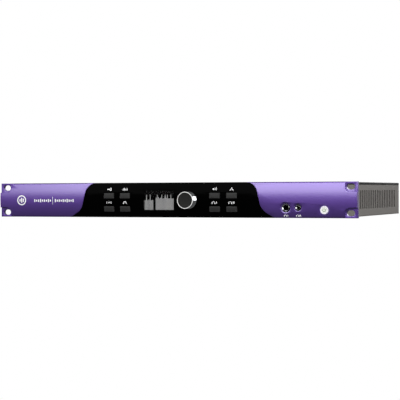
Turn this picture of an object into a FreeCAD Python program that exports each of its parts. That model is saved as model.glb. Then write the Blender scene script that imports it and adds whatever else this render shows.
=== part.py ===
"""Rack audio interface, one unit high, as a parametric assembly.

Frame: millimetres, +Z up, the front faces -Y.  The origin is the middle of the
footprint at the height of the underside.  Every piece is drawn from the ear plane,
the front face of the rack ears, and its Placement carries it to the frame.
"""
import FreeCAD, Part
import math
import os
import Sketcher
from FreeCAD import Vector

SIZES = {
    # Front panel, to the 19 inch rack standard
    "panel_width": 482.6,
    "panel_height": 43.66,
    "ear_thickness": 4.5,
    "bow_depth": 3.65,
    "bow_edge": 0.6,
    "edge_rounding": 0.9,
    "notch_reach": 15.1,
    "notch_drop": 12.1,
    "notch_rounding": 6.0,
    "slot_spacing_x": 465.1,
    "slot_spacing_z": 31.75,
    "slot_length": 10.3,
    "slot_width": 6.9,
    # Gloss fascia let into the front panel, with an S-shaped end each side
    "fascia_floor": 1.0,
    "fascia_gap": 0.15,
    "fascia_top": 101.1,
    "fascia_foot": 137.8,
    "fascia_shoulder": 15.5,
    "fascia_waist": 19.0,
    "fascia_lean": 14.0,
    "fascia_flare": 59.5,
    # Housing
    "housing_width": 440.0,
    "housing_depth": 310.0,
    "sheet_thickness": 1.2,
    "cover_thickness": 1.6,
    "cover_top": 43.4,
    "rear_thickness": 1.5,
    "fold_radius": 1.5,
    "flange_width": 12.0,
    "rear_flange_width": 400.0,
    "rear_flange_depth": 10.0,
    "vent_pitch": 10.0,
    "vent_width": 4.5,
    "vent_low": 9.5,
    "vent_high": 33.4,
    "vent_first": 33.6,
    "vent_count": 26,
    "tab_inner": 125.0,
    "tab_outer": 183.0,
    "tab_width": 10.0,
    "tab_top": 12.0,
    "tab_screw_height": 7.0,
    # Display
    "display_centre": -12.95,
    "display_width": 41.1,
    "display_low": 6.5,
    "display_high": 33.5,
    "display_gap": 0.1,
    # Push buttons in two columns each side of the display and the knob
    "button_width": 13.9,
    "button_height": 6.9,
    "button_shift": 0.5,
    "button_inner": 60.7,
    "button_outer": 83.0,
    "button_upper": 27.2,
    "button_lower": 10.4,
    "button_proud": 0.8,
    "button_gap": 0.3,
    "button_rounding": 0.7,
    "button_lip": 1.2,
    "lip_front": 4.8,
    "lip_back": 5.8,
    "plunger_radius": 1.75,
    "plunger_end": 9.0,
    "plunger_gap": 0.2,
    "switch_front": 7.2,
    "switch_width": 6.4,
    "switch_well_end": 10.2,
    # Knob and rotary encoder
    "knob_centre": 27.5,
    "knob_height": 21.6,
    "knob_radius": 10.65,
    "knob_front": -17.6,
    "knob_back": -4.65,
    "knob_wall": 1.35,
    "knob_rounding": 0.4,
    "knob_recess": 1.2,
    "knob_web": 1.8,
    "knob_hub_radius": 5.0,
    "knob_hub_back": -5.4,
    "face_radius": 9.1,
    "face_front": -17.3,
    "shaft_radius": 3.0,
    "shaft_gap": 0.06,
    "shaft_front": -14.0,
    "shaft_end": 9.2,
    "shaft_flat": 1.6,
    "shaft_flat_start": 5.5,
    "encoder_width": 13.2,
    "encoder_height": 12.6,
    "bushing_radius": 4.2,
    "bushing_front": -1.0,
    "bushing_hole": 4.5,
    "encoder_cavity_radius": 5.5,
    "encoder_cavity_front": 6.4,
    "encoder_cavity_back": 10.2,
    "rotor_radius": 5.0,
    "rotor_front": 6.7,
    "rotor_back": 8.3,
    # Upright board behind the front panel
    "control_board_half": 104.0,
    "control_board_low": 2.6,
    "control_board_high": 40.2,
    "control_board_front": 11.0,
    "control_post_x": 98.0,
    "control_post_low": 8.0,
    "control_post_high": 35.0,
    # Headphone sockets and power button
    "large_socket_x": 152.8,
    "large_socket_z": 12.5,
    "large_bore": 3.2,
    "large_sleeve": 4.6,
    "large_ring": 5.4,
    "large_sink": 6.75,
    "large_body_width": 16.0,
    "large_body_height": 15.0,
    "large_body_end": 34.0,
    "large_bore_end": 32.0,
    "small_socket_x": 168.2,
    "small_socket_z": 12.8,
    "small_bore": 1.8,
    "small_sleeve": 3.0,
    "small_ring": 4.05,
    "small_sink": 5.0,
    "small_body_width": 9.2,
    "small_body_height": 12.6,
    "small_body_end": 19.0,
    "small_bore_end": 17.5,
    "ring_seat": -1.9,
    "ring_front": -3.9,
    "power_x": 200.8,
    "power_z": 9.6,
    "power_radius": 5.2,
    "power_front": -3.5,
    "power_sink": 6.1,
    "power_sink_floor": -1.6,
    "power_gap": 0.15,
    "power_lip": 6.3,
    "power_switch_width": 8.4,
    "power_switch_back": 12.2,
    # Level boards
    "board_thickness": 1.6,
    "board_low": 8.0,
    "phones_board_low": 3.4,
    "standoff_radius": 2.75,
    "standoff_bore": 1.25,
    "board_hole": 1.6,
    "screw_head_radius": 2.5,
    "screw_head_height": 1.8,
    # Rear connectors
    "connector_axis": 16.5,
    "dsub_first": -97.0,
    "dsub_pitch": 62.0,
    "dsub_flange_width": 53.0,
    "dsub_flange_height": 12.5,
    "dsub_shell_width": 38.3,
    "dsub_shell_height": 10.2,
    "dsub_body_width": 40.0,
    "dsub_screw_half": 23.52,
    "dsub_shell_reach": 4.5,
    "jackscrew_radius": 2.6,
    "jackscrew_reach": 5.0,
    "jackscrew_thread": 1.4,
    "jackscrew_clearance": 1.6,
    "phono_first": 84.0,
    "phono_pitch": 18.0,
    "phono_radius": 4.15,
    "phono_bore": 1.7,
    "phono_reach": 9.0,
    "clock_first": 128.0,
    "clock_pitch": 22.0,
    "clock_radius": 4.8,
    "clock_bore": 4.0,
    "clock_post": 2.3,
    "clock_reach": 12.0,
    "clock_nut": 7.0,
    "clock_nut_thickness": 2.0,
    "usb_x": 180.0,
    "usb_width": 12.0,
    "usb_height": 11.0,
    "usb_mouth_width": 8.5,
    "usb_mouth_height": 7.8,
    "usb_tongue_width": 5.6,
    "usb_tongue_height": 3.2,
    "usb_reach": 1.0,
    "inlet_x": -185.0,
    "inlet_z": 21.0,
    "inlet_flange_width": 50.0,
    "inlet_flange_height": 24.0,
    "inlet_flange_thickness": 2.5,
    "inlet_body_width": 27.0,
    "inlet_body_height": 19.4,
    "inlet_mouth_width": 24.4,
    "inlet_mouth_height": 16.6,
    "inlet_mouth_end": 296.0,
    "inlet_body_end": 288.0,
    "inlet_screw_half": 20.0,
}


def make_sheet(document):
    """Spreadsheet with one named cell for each driving size."""
    table = document.addObject("Spreadsheet::Sheet", "Dims")
    for row, (alias, number) in enumerate(SIZES.items(), start=1):
        table.set("A%d" % row, alias)
        table.set("B%d" % row, str(number))
        table.setAlias("B%d" % row, alias)
    document.recompute()
    return table


doc = FreeCAD.newDocument("AudioInterface")
sheet = make_sheet(doc)
nodes = []


def dim(text):
    """Expression on the sheet: each word that is a size gets the sheet's name."""
    words = text.replace("(", " ( ").replace(")", " ) ").split()
    return " ".join("Dims." + word if word in SIZES else word for word in words)


def value(text):
    """Number that an expression on the sheet comes to."""
    return float(sheet.evalExpression(dim(text)))


# ---------------------------------------------------------------- drawing helpers

# The front reach is the knob and the rear reach is the clock sockets, so the
# middle of the two is where the frame's origin stands.
EAR_PLACE = "( 0 - knob_front - housing_depth - clock_reach ) / 2"
BACK_OF_BOARD = "control_board_front + board_thickness"
REAR_INSIDE = "housing_depth - rear_thickness"
WALL_TOP = "cover_top - cover_thickness"
BOARD_TOP = "board_low + board_thickness"
FLANGE_UNDER = WALL_TOP + " - sheet_thickness"


def make_body(label, x="0", z="0"):
    """PartDesign body drawn about (x, z) on the ear plane."""
    piece = doc.addObject("PartDesign::Body", label)
    piece.Label = label
    piece.AllowCompound = True
    piece.setExpression("Placement.Base.x", dim(x))
    piece.setExpression("Placement.Base.y", dim(EAR_PLACE))
    piece.setExpression("Placement.Base.z", dim(z))
    nodes.append(piece)
    return piece


def draw_on(piece, role, level="0"):
    """Sketch on an origin plane of the piece, moved to a level along that plane's row axis."""
    drawing = piece.newObject("Sketcher::SketchObject", piece.Label + "_sketch")
    support = [item for item in piece.Origin.OriginFeatures if item.Role == role][0]
    drawing.AttachmentSupport = [(support, "")]
    drawing.MapMode = "FlatFace"
    along = "0 - ( %s )" if role == "XZ_Plane" else "%s"
    drawing.setExpression("AttachmentOffset.Base.z", dim(along % level))
    return drawing


def facing(piece, level="0"):
    """Sketch that looks along +Y: pads come forward from it and pockets go back."""
    return draw_on(piece, "XZ_Plane", level)


def lying(piece, level="0"):
    """Sketch that looks down: pads go up from it and pockets go down."""
    return draw_on(piece, "XY_Plane", level)


def sideways(piece, level="0"):
    """Sketch in the Y-Z plane: pads go to +X from it."""
    return draw_on(piece, "YZ_Plane", level)


def bind(drawing, kind, references, text):
    """Constraint of the sketch whose number follows the sheet."""
    number = value(text)
    if kind == "Angle":
        number = math.radians(number)
    index = drawing.addConstraint(Sketcher.Constraint(kind, *references, number))
    drawing.setExpression("Constraints[%d]" % index, dim(text))


def circle(drawing, across, up, radius):
    """Circle about (across, up)."""
    centre = Vector(value(across), value(up), 0)
    ring = drawing.addGeometry(Part.Circle(centre, Vector(0, 0, 1), value(radius)))
    bind(drawing, "DistanceX", (-1, 1, ring, 3), across)
    bind(drawing, "DistanceY", (-1, 1, ring, 3), up)
    bind(drawing, "Radius", (ring,), radius)


def outline(drawing, corners, rounding=None):
    """Closed outline of level and upright lines through the corners.

    Each corner is (across, up); rounding maps a corner's index to its radius.
    """
    rounding = rounding or {}
    count = len(corners)
    points = [Vector(value(across), value(up), 0) for across, up in corners]
    radii = [value(rounding[i]) if i in rounding else 0.0 for i in range(count)]
    lines = []
    for i in range(count):
        ahead = (points[(i + 1) % count] - points[i]).normalize()
        start = points[i] + ahead * radii[i]
        finish = points[(i + 1) % count] - ahead * radii[(i + 1) % count]
        line = drawing.addGeometry(Part.LineSegment(start, finish))
        level = abs(ahead.x) > abs(ahead.y)
        drawing.addConstraint(Sketcher.Constraint("Horizontal" if level else "Vertical", line))
        bind(drawing, "DistanceY" if level else "DistanceX", (-1, 1, line, 1), corners[i][level])
        lines.append((line, ahead))
    for i in range(count):
        before, arriving = lines[i - 1]
        after, leaving = lines[i]
        if i not in rounding:
            drawing.addConstraint(Sketcher.Constraint("Coincident", before, 2, after, 1))
            continue
        centre = points[i] - arriving * radii[i] + leaving * radii[i]
        left_turn = arriving.cross(leaving).z > 0
        first = -leaving if left_turn else arriving
        begin = math.atan2(first.y, first.x)
        ring = Part.Circle(centre, Vector(0, 0, 1), radii[i])
        arc = drawing.addGeometry(Part.ArcOfCircle(ring, begin, begin + math.pi / 2))
        drawing.addConstraint(Sketcher.Constraint("Tangent", before, 2, arc, 1 if left_turn else 2))
        drawing.addConstraint(Sketcher.Constraint("Tangent", arc, 2 if left_turn else 1, after, 1))
        bind(drawing, "Radius", (arc,), rounding[i])


def rectangle(drawing, across, up, width, height, radius=None):
    """Rectangle about (across, up), with rounded corners if a radius is given."""
    left = "%s - ( %s ) / 2" % (across, width)
    right = "%s + ( %s ) / 2" % (across, width)
    low = "%s - ( %s ) / 2" % (up, height)
    high = "%s + ( %s ) / 2" % (up, height)
    corners = [(left, low), (right, low), (right, high), (left, high)]
    outline(drawing, corners, {i: radius for i in range(4)} if radius else None)


def panel(drawing, left, right, low, high):
    """Rectangle between two uprights and two levels."""
    outline(drawing, [(left, low), (right, low), (right, high), (left, high)])


def obround(drawing, across, up, length, width):
    """Level slot with round ends; length is end to end."""
    reach = "( %s - %s ) / 2" % (length, width)
    radius = value(width) / 2
    centre = Vector(value(across), value(up), 0)
    side = Vector(value(reach), 0, 0)
    over = Vector(0, radius, 0)
    up_axis = Vector(0, 0, 1)
    right = drawing.addGeometry(
        Part.ArcOfCircle(Part.Circle(centre + side, up_axis, radius), -math.pi / 2, math.pi / 2))
    top = drawing.addGeometry(Part.LineSegment(centre + side + over, centre - side + over))
    left = drawing.addGeometry(
        Part.ArcOfCircle(Part.Circle(centre - side, up_axis, radius), math.pi / 2, 3 * math.pi / 2))
    foot = drawing.addGeometry(Part.LineSegment(centre - side - over, centre + side - over))
    for first, second in ((right, top), (top, left), (left, foot), (foot, right)):
        drawing.addConstraint(Sketcher.Constraint("Tangent", first, 2, second, 1))
    drawing.addConstraint(Sketcher.Constraint("Equal", right, left))
    bind(drawing, "Radius", (right,), "( %s ) / 2" % width)
    bind(drawing, "DistanceX", (-1, 1, right, 3), "%s + %s" % (across, reach))
    bind(drawing, "DistanceX", (-1, 1, left, 3), "%s - %s" % (across, reach))
    bind(drawing, "DistanceY", (-1, 1, right, 3), up)


# ---------------------------------------------------------------- feature helpers

def pad(piece, drawing, depth, middle=False, flip=False):
    """Pad of the given depth along the sketch's normal, or about it with middle."""
    feature = piece.newObject("PartDesign::Pad", piece.Label + "_pad")
    feature.Profile = drawing
    feature.setExpression("Length", dim(depth))
    feature.SideType = "Symmetric" if middle else "One side"
    feature.Reversed = flip
    return feature


def pocket(piece, drawing, depth, middle=False, flip=False):
    """Pocket against the sketch's normal, checked to take something away."""
    doc.recompute()
    before = piece.Shape.Volume
    feature = piece.newObject("PartDesign::Pocket", piece.Label + "_pocket")
    feature.Profile = drawing
    feature.setExpression("Length", dim(depth))
    feature.SideType = "Symmetric" if middle else "One side"
    feature.Reversed = flip
    doc.recompute()
    if not piece.Shape.Volume < before:
        raise RuntimeError("A pocket of %s cuts nothing" % piece.Label)
    return feature


def axis_of(piece, role):
    """One of the body's own origin axes or planes."""
    return [item for item in piece.Origin.OriginFeatures if item.Role == role][0]


def spin(piece, drawing):
    """Full revolution about the body's front-to-back axis."""
    feature = piece.newObject("PartDesign::Revolution", piece.Label + "_turned")
    feature.Profile = drawing
    feature.ReferenceAxis = (axis_of(piece, "Y_Axis"), [""])
    feature.Angle = 360.0
    return feature


def groove(piece, drawing):
    """Full groove about the body's front-to-back axis, checked to take something away."""
    doc.recompute()
    before = piece.Shape.Volume
    feature = piece.newObject("PartDesign::Groove", piece.Label + "_groove")
    feature.Profile = drawing
    feature.ReferenceAxis = (axis_of(piece, "Y_Axis"), [""])
    feature.Angle = 360.0
    doc.recompute()
    if not piece.Shape.Volume < before:
        raise RuntimeError("A groove of %s cuts nothing" % piece.Label)
    return feature


def mirror_across(piece, feature):
    """The feature again on the other side of the body's Y-Z plane."""
    twin = piece.newObject("PartDesign::Mirrored", piece.Label + "_mirrored")
    twin.Originals = [feature]
    twin.MirrorPlane = (axis_of(piece, "YZ_Plane"), [""])
    piece.Tip = twin
    return twin


def repeat(piece, feature, role, spacing, count):
    """The feature in a row along one of the body's axes."""
    row = piece.newObject("PartDesign::LinearPattern", piece.Label + "_row")
    row.Originals = [feature]
    row.Direction = (axis_of(piece, role), [""])
    row.setExpression("Length", dim("( %s ) * ( %s - 1 )" % (spacing, count)))
    row.setExpression("Occurrences", dim(count))
    piece.Tip = row
    return row


def soften(piece, feature, wanted, radius):
    """Fillet on the edges for which wanted(edge) holds."""
    doc.recompute()
    names = ["Edge%d" % (i + 1) for i, edge in enumerate(feature.Shape.Edges) if wanted(edge)]
    rounded = piece.newObject("PartDesign::Fillet", piece.Label + "_fillet")
    rounded.Base = (feature, names)
    rounded.setExpression("Radius", dim(radius))
    return rounded


def edges_at_y(level):
    """Test for edges that lie at one distance from the ear plane."""
    target = value(level)

    def wanted(edge):
        box = edge.BoundBox
        return abs(box.YMin - target) < 1e-4 and abs(box.YMax - target) < 1e-4
    return wanted


# ---------------------------------------------------------------- front panel

def bow_radius():
    """Radius of the panel's front, from its chord and how far it swells."""
    return "( ( panel_height / 2 ) ^ 2 + ( bow_depth - bow_edge ) ^ 2 ) / ( 2 * ( bow_depth - bow_edge ) )"


def surface(height):
    """Distance from the ear plane to the bowed front at a height, as an expression."""
    drop = "( ( %s - panel_height / 2 ) ^ 2 ) / ( 2 * ( %s ) )" % (height, bow_radius())
    return "( %s - bow_depth )" % drop


def bowed_section(drawing, back):
    """Section across the panel: flat at the back, bowed at the front."""
    height = value("panel_height")
    rear = value(back)
    edge = -value("bow_edge")
    radius = value(bow_radius())
    half_angle = math.asin(height / 2 / radius)
    upright = drawing.addGeometry(Part.LineSegment(Vector(rear, 0, 0), Vector(rear, height, 0)))
    top = drawing.addGeometry(Part.LineSegment(Vector(rear, height, 0), Vector(edge, height, 0)))
    ring = Part.Circle(Vector(radius - value("bow_depth"), height / 2, 0), Vector(0, 0, 1), radius)
    bow = drawing.addGeometry(Part.ArcOfCircle(ring, math.pi - half_angle, math.pi + half_angle))
    foot = drawing.addGeometry(Part.LineSegment(Vector(edge, 0, 0), Vector(rear, 0, 0)))
    for first, second in ((upright, top), (top, bow), (bow, foot), (foot, upright)):
        drawing.addConstraint(Sketcher.Constraint("Coincident", first, 2, second, 1))
    drawing.addConstraint(Sketcher.Constraint("Vertical", upright))
    drawing.addConstraint(Sketcher.Constraint("Horizontal", top))
    drawing.addConstraint(Sketcher.Constraint("Horizontal", foot))
    bind(drawing, "DistanceX", (-1, 1, upright, 1), back)
    bind(drawing, "DistanceY", (-1, 1, upright, 2), "panel_height")
    bind(drawing, "DistanceY", (-1, 1, foot, 1), "0")
    bind(drawing, "DistanceX", (-1, 1, top, 2), "0 - bow_edge")
    bind(drawing, "DistanceX", (-1, 1, foot, 1), "0 - bow_edge")
    bind(drawing, "Radius", (bow,), bow_radius())


def fascia_end(drawing, shift):
    """S-shaped right end of the fascia, from its top corner down to its foot.

    Below the rounded shoulder the end leans out, then flares through the waist.
    Returns the first and last vertex of the chain as (geometry, point) pairs.
    """
    height = value("panel_height")
    lean = math.radians(value("fascia_lean"))
    flare = math.radians(value("fascia_flare"))
    shoulder = value("fascia_shoulder")
    waist = value("fascia_waist")
    up_axis = Vector(0, 0, 1)
    top = Vector(value("fascia_top - " + shift), height, 0)
    foot = Vector(value("fascia_foot - " + shift), 0, 0)
    lean_way = Vector(math.sin(lean), -math.cos(lean), 0)
    flare_way = Vector(math.sin(flare), -math.cos(flare), 0)
    shoulder_centre = top - Vector(0, shoulder, 0)
    shoulder_end = shoulder_centre + Vector(math.cos(lean), math.sin(lean), 0) * shoulder
    across = foot - shoulder_end
    along = (across.x * flare_way.y - across.y * flare_way.x) / (
        lean_way.x * flare_way.y - lean_way.y * flare_way.x)
    corner = shoulder_end + lean_way * along
    reach = waist * math.tan((flare - lean) / 2)
    waist_start = corner - lean_way * reach
    waist_end = corner + flare_way * reach
    waist_centre = waist_start + Vector(math.cos(lean), math.sin(lean), 0) * waist
    first = drawing.addGeometry(
        Part.ArcOfCircle(Part.Circle(shoulder_centre, up_axis, shoulder), lean, math.pi / 2))
    slope = drawing.addGeometry(Part.LineSegment(shoulder_end, waist_start))
    second = drawing.addGeometry(
        Part.ArcOfCircle(Part.Circle(waist_centre, up_axis, waist), math.pi + lean, math.pi + flare))
    skirt = drawing.addGeometry(Part.LineSegment(waist_end, foot))
    drawing.addConstraint(Sketcher.Constraint("Tangent", first, 1, slope, 1))
    drawing.addConstraint(Sketcher.Constraint("Tangent", slope, 2, second, 1))
    drawing.addConstraint(Sketcher.Constraint("Tangent", second, 2, skirt, 1))
    bind(drawing, "Radius", (first,), "fascia_shoulder")
    bind(drawing, "Radius", (second,), "fascia_waist")
    bind(drawing, "Angle", (slope,), "fascia_lean - 90")
    bind(drawing, "Angle", (skirt,), "fascia_flare - 90")
    bind(drawing, "DistanceX", (-1, 1, first, 2), "fascia_top - " + shift)
    bind(drawing, "DistanceY", (-1, 1, first, 2), "panel_height")
    bind(drawing, "DistanceX", (-1, 1, skirt, 2), "fascia_foot - " + shift)
    bind(drawing, "DistanceY", (-1, 1, skirt, 2), "0")
    return (first, 2), (skirt, 2)


def close_end(drawing, start, finish, corners):
    """Straight lines from the foot of the S-shaped end round the corners to its top."""
    points = [Vector(value("fascia_foot - 0"), 0, 0)]
    points += [Vector(value(across), value(up), 0) for across, up in corners]
    lines = []
    for i, (across, up) in enumerate(corners):
        line = drawing.addGeometry(Part.LineSegment(points[i], points[i + 1]))
        bind(drawing, "DistanceX", (-1, 1, line, 2), across)
        bind(drawing, "DistanceY", (-1, 1, line, 2), up)
        lines.append(line)
    last = drawing.addGeometry(Part.LineSegment(points[-1], Vector(value("fascia_top - 0"), points[-1].y, 0)))
    drawing.addConstraint(Sketcher.Constraint("Coincident", finish[0], finish[1], lines[0], 1))
    for before, after in zip(lines, lines[1:] + [last]):
        drawing.addConstraint(Sketcher.Constraint("Coincident", before, 2, after, 1))
    drawing.addConstraint(Sketcher.Constraint("Coincident", last, 2, start[0], start[1]))


BUTTON_PLACES = {
    "input_button": ("button_shift - button_outer", "button_upper"),
    "channel_button": ("button_shift - button_inner", "button_upper"),
    "phantom_power_button": ("button_shift - button_outer", "button_lower"),
    "soft_limit_button": ("button_shift - button_inner", "button_lower"),
    "headphone_1_button": ("button_shift + button_inner", "button_upper"),
    "speaker_button": ("button_shift + button_outer", "button_upper"),
    "headphone_2_button": ("button_shift + button_inner", "button_lower"),
    "talkback_button": ("button_shift + button_outer", "button_lower"),
}


def front_openings(drawing, margin):
    """Openings that the fascia and the panel share: buttons, display and encoder."""
    for across, up in BUTTON_PLACES.values():
        rectangle(drawing, across, up, "button_width + 2 * button_gap", "button_height + 2 * button_gap",
                  "button_rounding")
    rectangle(drawing, "display_centre", "( display_low + display_high ) / 2",
              "display_width + 2 * " + margin, "display_high - display_low + 2 * " + margin)
    circle(drawing, "knob_centre", "knob_height", "bushing_hole")


def notch(drawing, side, top):
    """Corner cut of a rack ear, with its inner corner rounded."""
    inner = "%s * ( panel_width / 2 - notch_reach )" % side
    outer = "%s * ( panel_width / 2 + 2 )" % side
    near = "panel_height - notch_drop" if top else "notch_drop"
    far = "panel_height + 2" if top else "0 - 2"
    outline(drawing, [(outer, far), (inner, far), (inner, near), (outer, near)], {2: "notch_rounding"})


def make_front_panel():
    piece = make_body("front_panel")
    section = sideways(piece)
    bowed_section(section, "ear_thickness")
    slab = pad(piece, section, "panel_width", middle=True)
    height = value("panel_height")

    def front_corner(edge):
        box = edge.BoundBox
        long_edge = box.XLength > value("panel_width") - 1
        at_front = box.YMax < 0
        return long_edge and at_front and (box.ZMin > height - 0.01 or box.ZMax < 0.01)
    soften(piece, slab, front_corner, "edge_rounding")

    recess = facing(piece, "fascia_floor")
    start, finish = fascia_end(recess, "0")
    close_end(recess, start, finish, [("0", "0"), ("0", "panel_height")])
    mirror_across(piece, pocket(piece, recess, "bow_depth + 3", flip=True))

    ears = facing(piece, "0")
    for side in ("1", "-1"):
        for top in (True, False):
            notch(ears, side, top)
    pocket(piece, ears, "bow_depth + 3", flip=True)

    slots = facing(piece, "0 - 1")
    for side in ("1", "-1"):
        for end in ("1", "-1"):
            obround(slots, "%s * slot_spacing_x / 2" % side,
                    "panel_height / 2 + %s * slot_spacing_z / 2" % end, "slot_length", "slot_width")
    pocket(piece, slots, "ear_thickness + 2")

    openings = facing(piece, "fascia_floor - 1")
    front_openings(openings, "display_gap")
    pocket(piece, openings, "ear_thickness + 2")

    sinks = facing(piece, "0 - bow_depth - 1")
    circle(sinks, "large_socket_x", "large_socket_z", "large_sink")
    circle(sinks, "small_socket_x", "small_socket_z", "small_sink")
    pocket(piece, sinks, "bow_depth + 1 + ring_seat")
    power_sink = facing(piece, "0 - bow_depth - 1")
    circle(power_sink, "power_x", "power_z", "power_sink")
    pocket(piece, power_sink, "bow_depth + 1 + power_sink_floor")
    holes = facing(piece, "0 - bow_depth")
    circle(holes, "large_socket_x", "large_socket_z", "large_sleeve + 0.1")
    circle(holes, "small_socket_x", "small_socket_z", "small_sleeve + 0.1")
    circle(holes, "power_x", "power_z", "power_radius + power_gap")
    pocket(piece, holes, "bow_depth + ear_thickness + 1")

    taps = facing(piece, "ear_thickness")
    for across in ("tab_inner", "tab_outer", "0 - tab_inner", "0 - tab_outer"):
        circle(taps, across, "tab_screw_height", "standoff_bore")
    pocket(piece, taps, "2.7", flip=True)


def make_display_fascia():
    piece = make_body("display_fascia")
    section = sideways(piece)
    bowed_section(section, "fascia_floor")
    slab = pad(piece, section, "2 * fascia_foot", middle=True)
    height = value("panel_height")

    def front_corner(edge):
        box = edge.BoundBox
        long_edge = box.XLength > value("fascia_foot")
        return long_edge and box.YMax < 0 and (box.ZMin > height - 0.01 or box.ZMax < 0.01)
    soften(piece, slab, front_corner, "edge_rounding")

    ends = facing(piece, "0 - bow_depth - 1")
    start, finish = fascia_end(ends, "fascia_gap")
    close_end(ends, start, finish, [
        ("fascia_foot - fascia_gap", "0 - 1"),
        ("fascia_foot + 2", "0 - 1"),
        ("fascia_foot + 2", "panel_height + 1"),
        ("fascia_top - fascia_gap", "panel_height + 1"),
    ])
    mirror_across(piece, pocket(piece, ends, "bow_depth + fascia_floor + 2"))

    openings = facing(piece, "0 - bow_depth - 1")
    front_openings(openings, "display_gap")
    pocket(piece, openings, "bow_depth + fascia_floor + 2")


def make_display():
    window = make_body("display_window", "display_centre")
    section = sideways(window)
    bowed_section(section, "fascia_floor")
    pad(window, section, "display_width", middle=True)
    trim = facing(window, "0 - bow_depth - 1")
    panel(trim, "0 - display_width", "display_width", "0 - 1", "display_low")
    panel(trim, "0 - display_width", "display_width", "display_high", "panel_height + 1")
    pocket(window, trim, "bow_depth + fascia_floor + 2")

    module = make_body("display_module", "display_centre", "( display_low + display_high ) / 2")
    face = facing(module, "control_board_front")
    rectangle(face, "0", "0", "display_width - 1", "display_high - display_low - 1")
    pad(module, face, "control_board_front - fascia_floor - 0.3")


# ---------------------------------------------------------------- controls

def make_button(label, across, up):
    """Cap, retaining lip and plunger in one moulding, standing just proud of the fascia."""
    piece = make_body(label, across, up)
    lip = facing(piece, "lip_back")
    rectangle(lip, "0", "0", "button_width + 2 * button_lip", "button_height + 2 * button_lip")
    pad(piece, lip, "lip_back - lip_front")
    cap = facing(piece, "lip_front")
    rectangle(cap, "0", "0", "button_width", "button_height", "button_rounding")
    front = "%s - button_proud" % surface(up)
    cap_pad = pad(piece, cap, "lip_front - ( %s )" % front)
    soften(piece, cap_pad, edges_at_y(front), "button_rounding / 2")
    plunger = facing(piece, "plunger_end")
    circle(plunger, "0", "0", "plunger_radius")
    pad(piece, plunger, "plunger_end - lip_back")


def make_tactile_switches():
    """One switch behind each button; the well takes the button's plunger."""
    piece = make_body("tactile_switches")
    cases = facing(piece, "control_board_front")
    wells = []
    for across, up in BUTTON_PLACES.values():
        rectangle(cases, across, up, "switch_width", "switch_width")
        wells.append((across, up))
    pad(piece, cases, "control_board_front - switch_front")
    holes = facing(piece, "switch_front")
    for across, up in wells:
        circle(holes, across, up, "plunger_radius + plunger_gap")
    pocket(piece, holes, "switch_well_end - switch_front")


def make_control_board():
    piece = make_body("control_board")
    face = facing(piece, BACK_OF_BOARD)
    panel(face, "0 - control_board_half", "control_board_half", "control_board_low", "control_board_high")
    for side in ("1", "-1"):
        for up in ("control_post_low", "control_post_high"):
            circle(face, "%s * control_post_x" % side, up, "standoff_bore")
    pad(piece, face, "board_thickness")


def make_encoder():
    body = make_body("encoder_body", "knob_centre", "knob_height")
    case = facing(body, "control_board_front")
    rectangle(case, "0", "0", "encoder_width", "encoder_height")
    pad(body, case, "control_board_front - lip_front")
    bushing = facing(body, "lip_front")
    circle(bushing, "0", "0", "bushing_radius")
    pad(body, bushing, "lip_front - bushing_front")
    inside = sideways(body)
    bore = "shaft_radius + shaft_gap"
    outline(inside, [
        ("bushing_front - 1", "0"),
        ("encoder_cavity_back", "0"),
        ("encoder_cavity_back", "encoder_cavity_radius"),
        ("encoder_cavity_front", "encoder_cavity_radius"),
        ("encoder_cavity_front", bore),
        ("bushing_front - 1", bore),
    ])
    groove(body, inside)

    rotor = make_body("encoder_rotor", "knob_centre", "knob_height")
    disc = facing(rotor, "rotor_back")
    circle(disc, "0", "0", "rotor_radius")
    pad(rotor, disc, "rotor_back - rotor_front")
    hole = facing(rotor, "rotor_front - 1")
    circle(hole, "0", "0", bore)
    pocket(rotor, hole, "rotor_back - rotor_front + 2")
    key = facing(rotor, "rotor_back")
    outline(key, [
        ("0 - 2.6", "shaft_flat + shaft_gap"),
        ("2.6", "shaft_flat + shaft_gap"),
        ("2.6", "shaft_radius + 0.4"),
        ("0 - 2.6", "shaft_radius + 0.4"),
    ])
    pad(rotor, key, "rotor_back - rotor_front")

    shaft = make_body("encoder_shaft", "knob_centre", "knob_height")
    rod = facing(shaft, "shaft_end")
    circle(rod, "0", "0", "shaft_radius")
    pad(shaft, rod, "shaft_end - shaft_front")
    flat = facing(shaft, "shaft_flat_start")
    panel(flat, "0 - 4", "4", "shaft_flat", "4")
    pocket(shaft, flat, "shaft_end - shaft_flat_start + 1")


def make_knob():
    knob = make_body("control_knob", "knob_centre", "knob_height")
    floor = "knob_front + knob_recess"
    web = floor + " + knob_web"
    section = sideways(knob)
    outline(section, [
        (floor, "0"),
        ("shaft_front", "0"),
        ("shaft_front", "shaft_radius"),
        ("knob_hub_back", "shaft_radius"),
        ("knob_hub_back", "knob_hub_radius"),
        (web, "knob_hub_radius"),
        (web, "knob_radius - knob_wall"),
        ("knob_back", "knob_radius - knob_wall"),
        ("knob_back", "knob_radius"),
        ("knob_front", "knob_radius"),
        ("knob_front", "face_radius"),
        (floor, "face_radius"),
    ], {8: "knob_rounding", 9: "knob_rounding"})
    spin(knob, section)

    face = make_body("knob_face", "knob_centre", "knob_height")
    disc = facing(face, floor)
    circle(disc, "0", "0", "face_radius")
    pad(face, disc, "%s - face_front" % floor)


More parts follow.
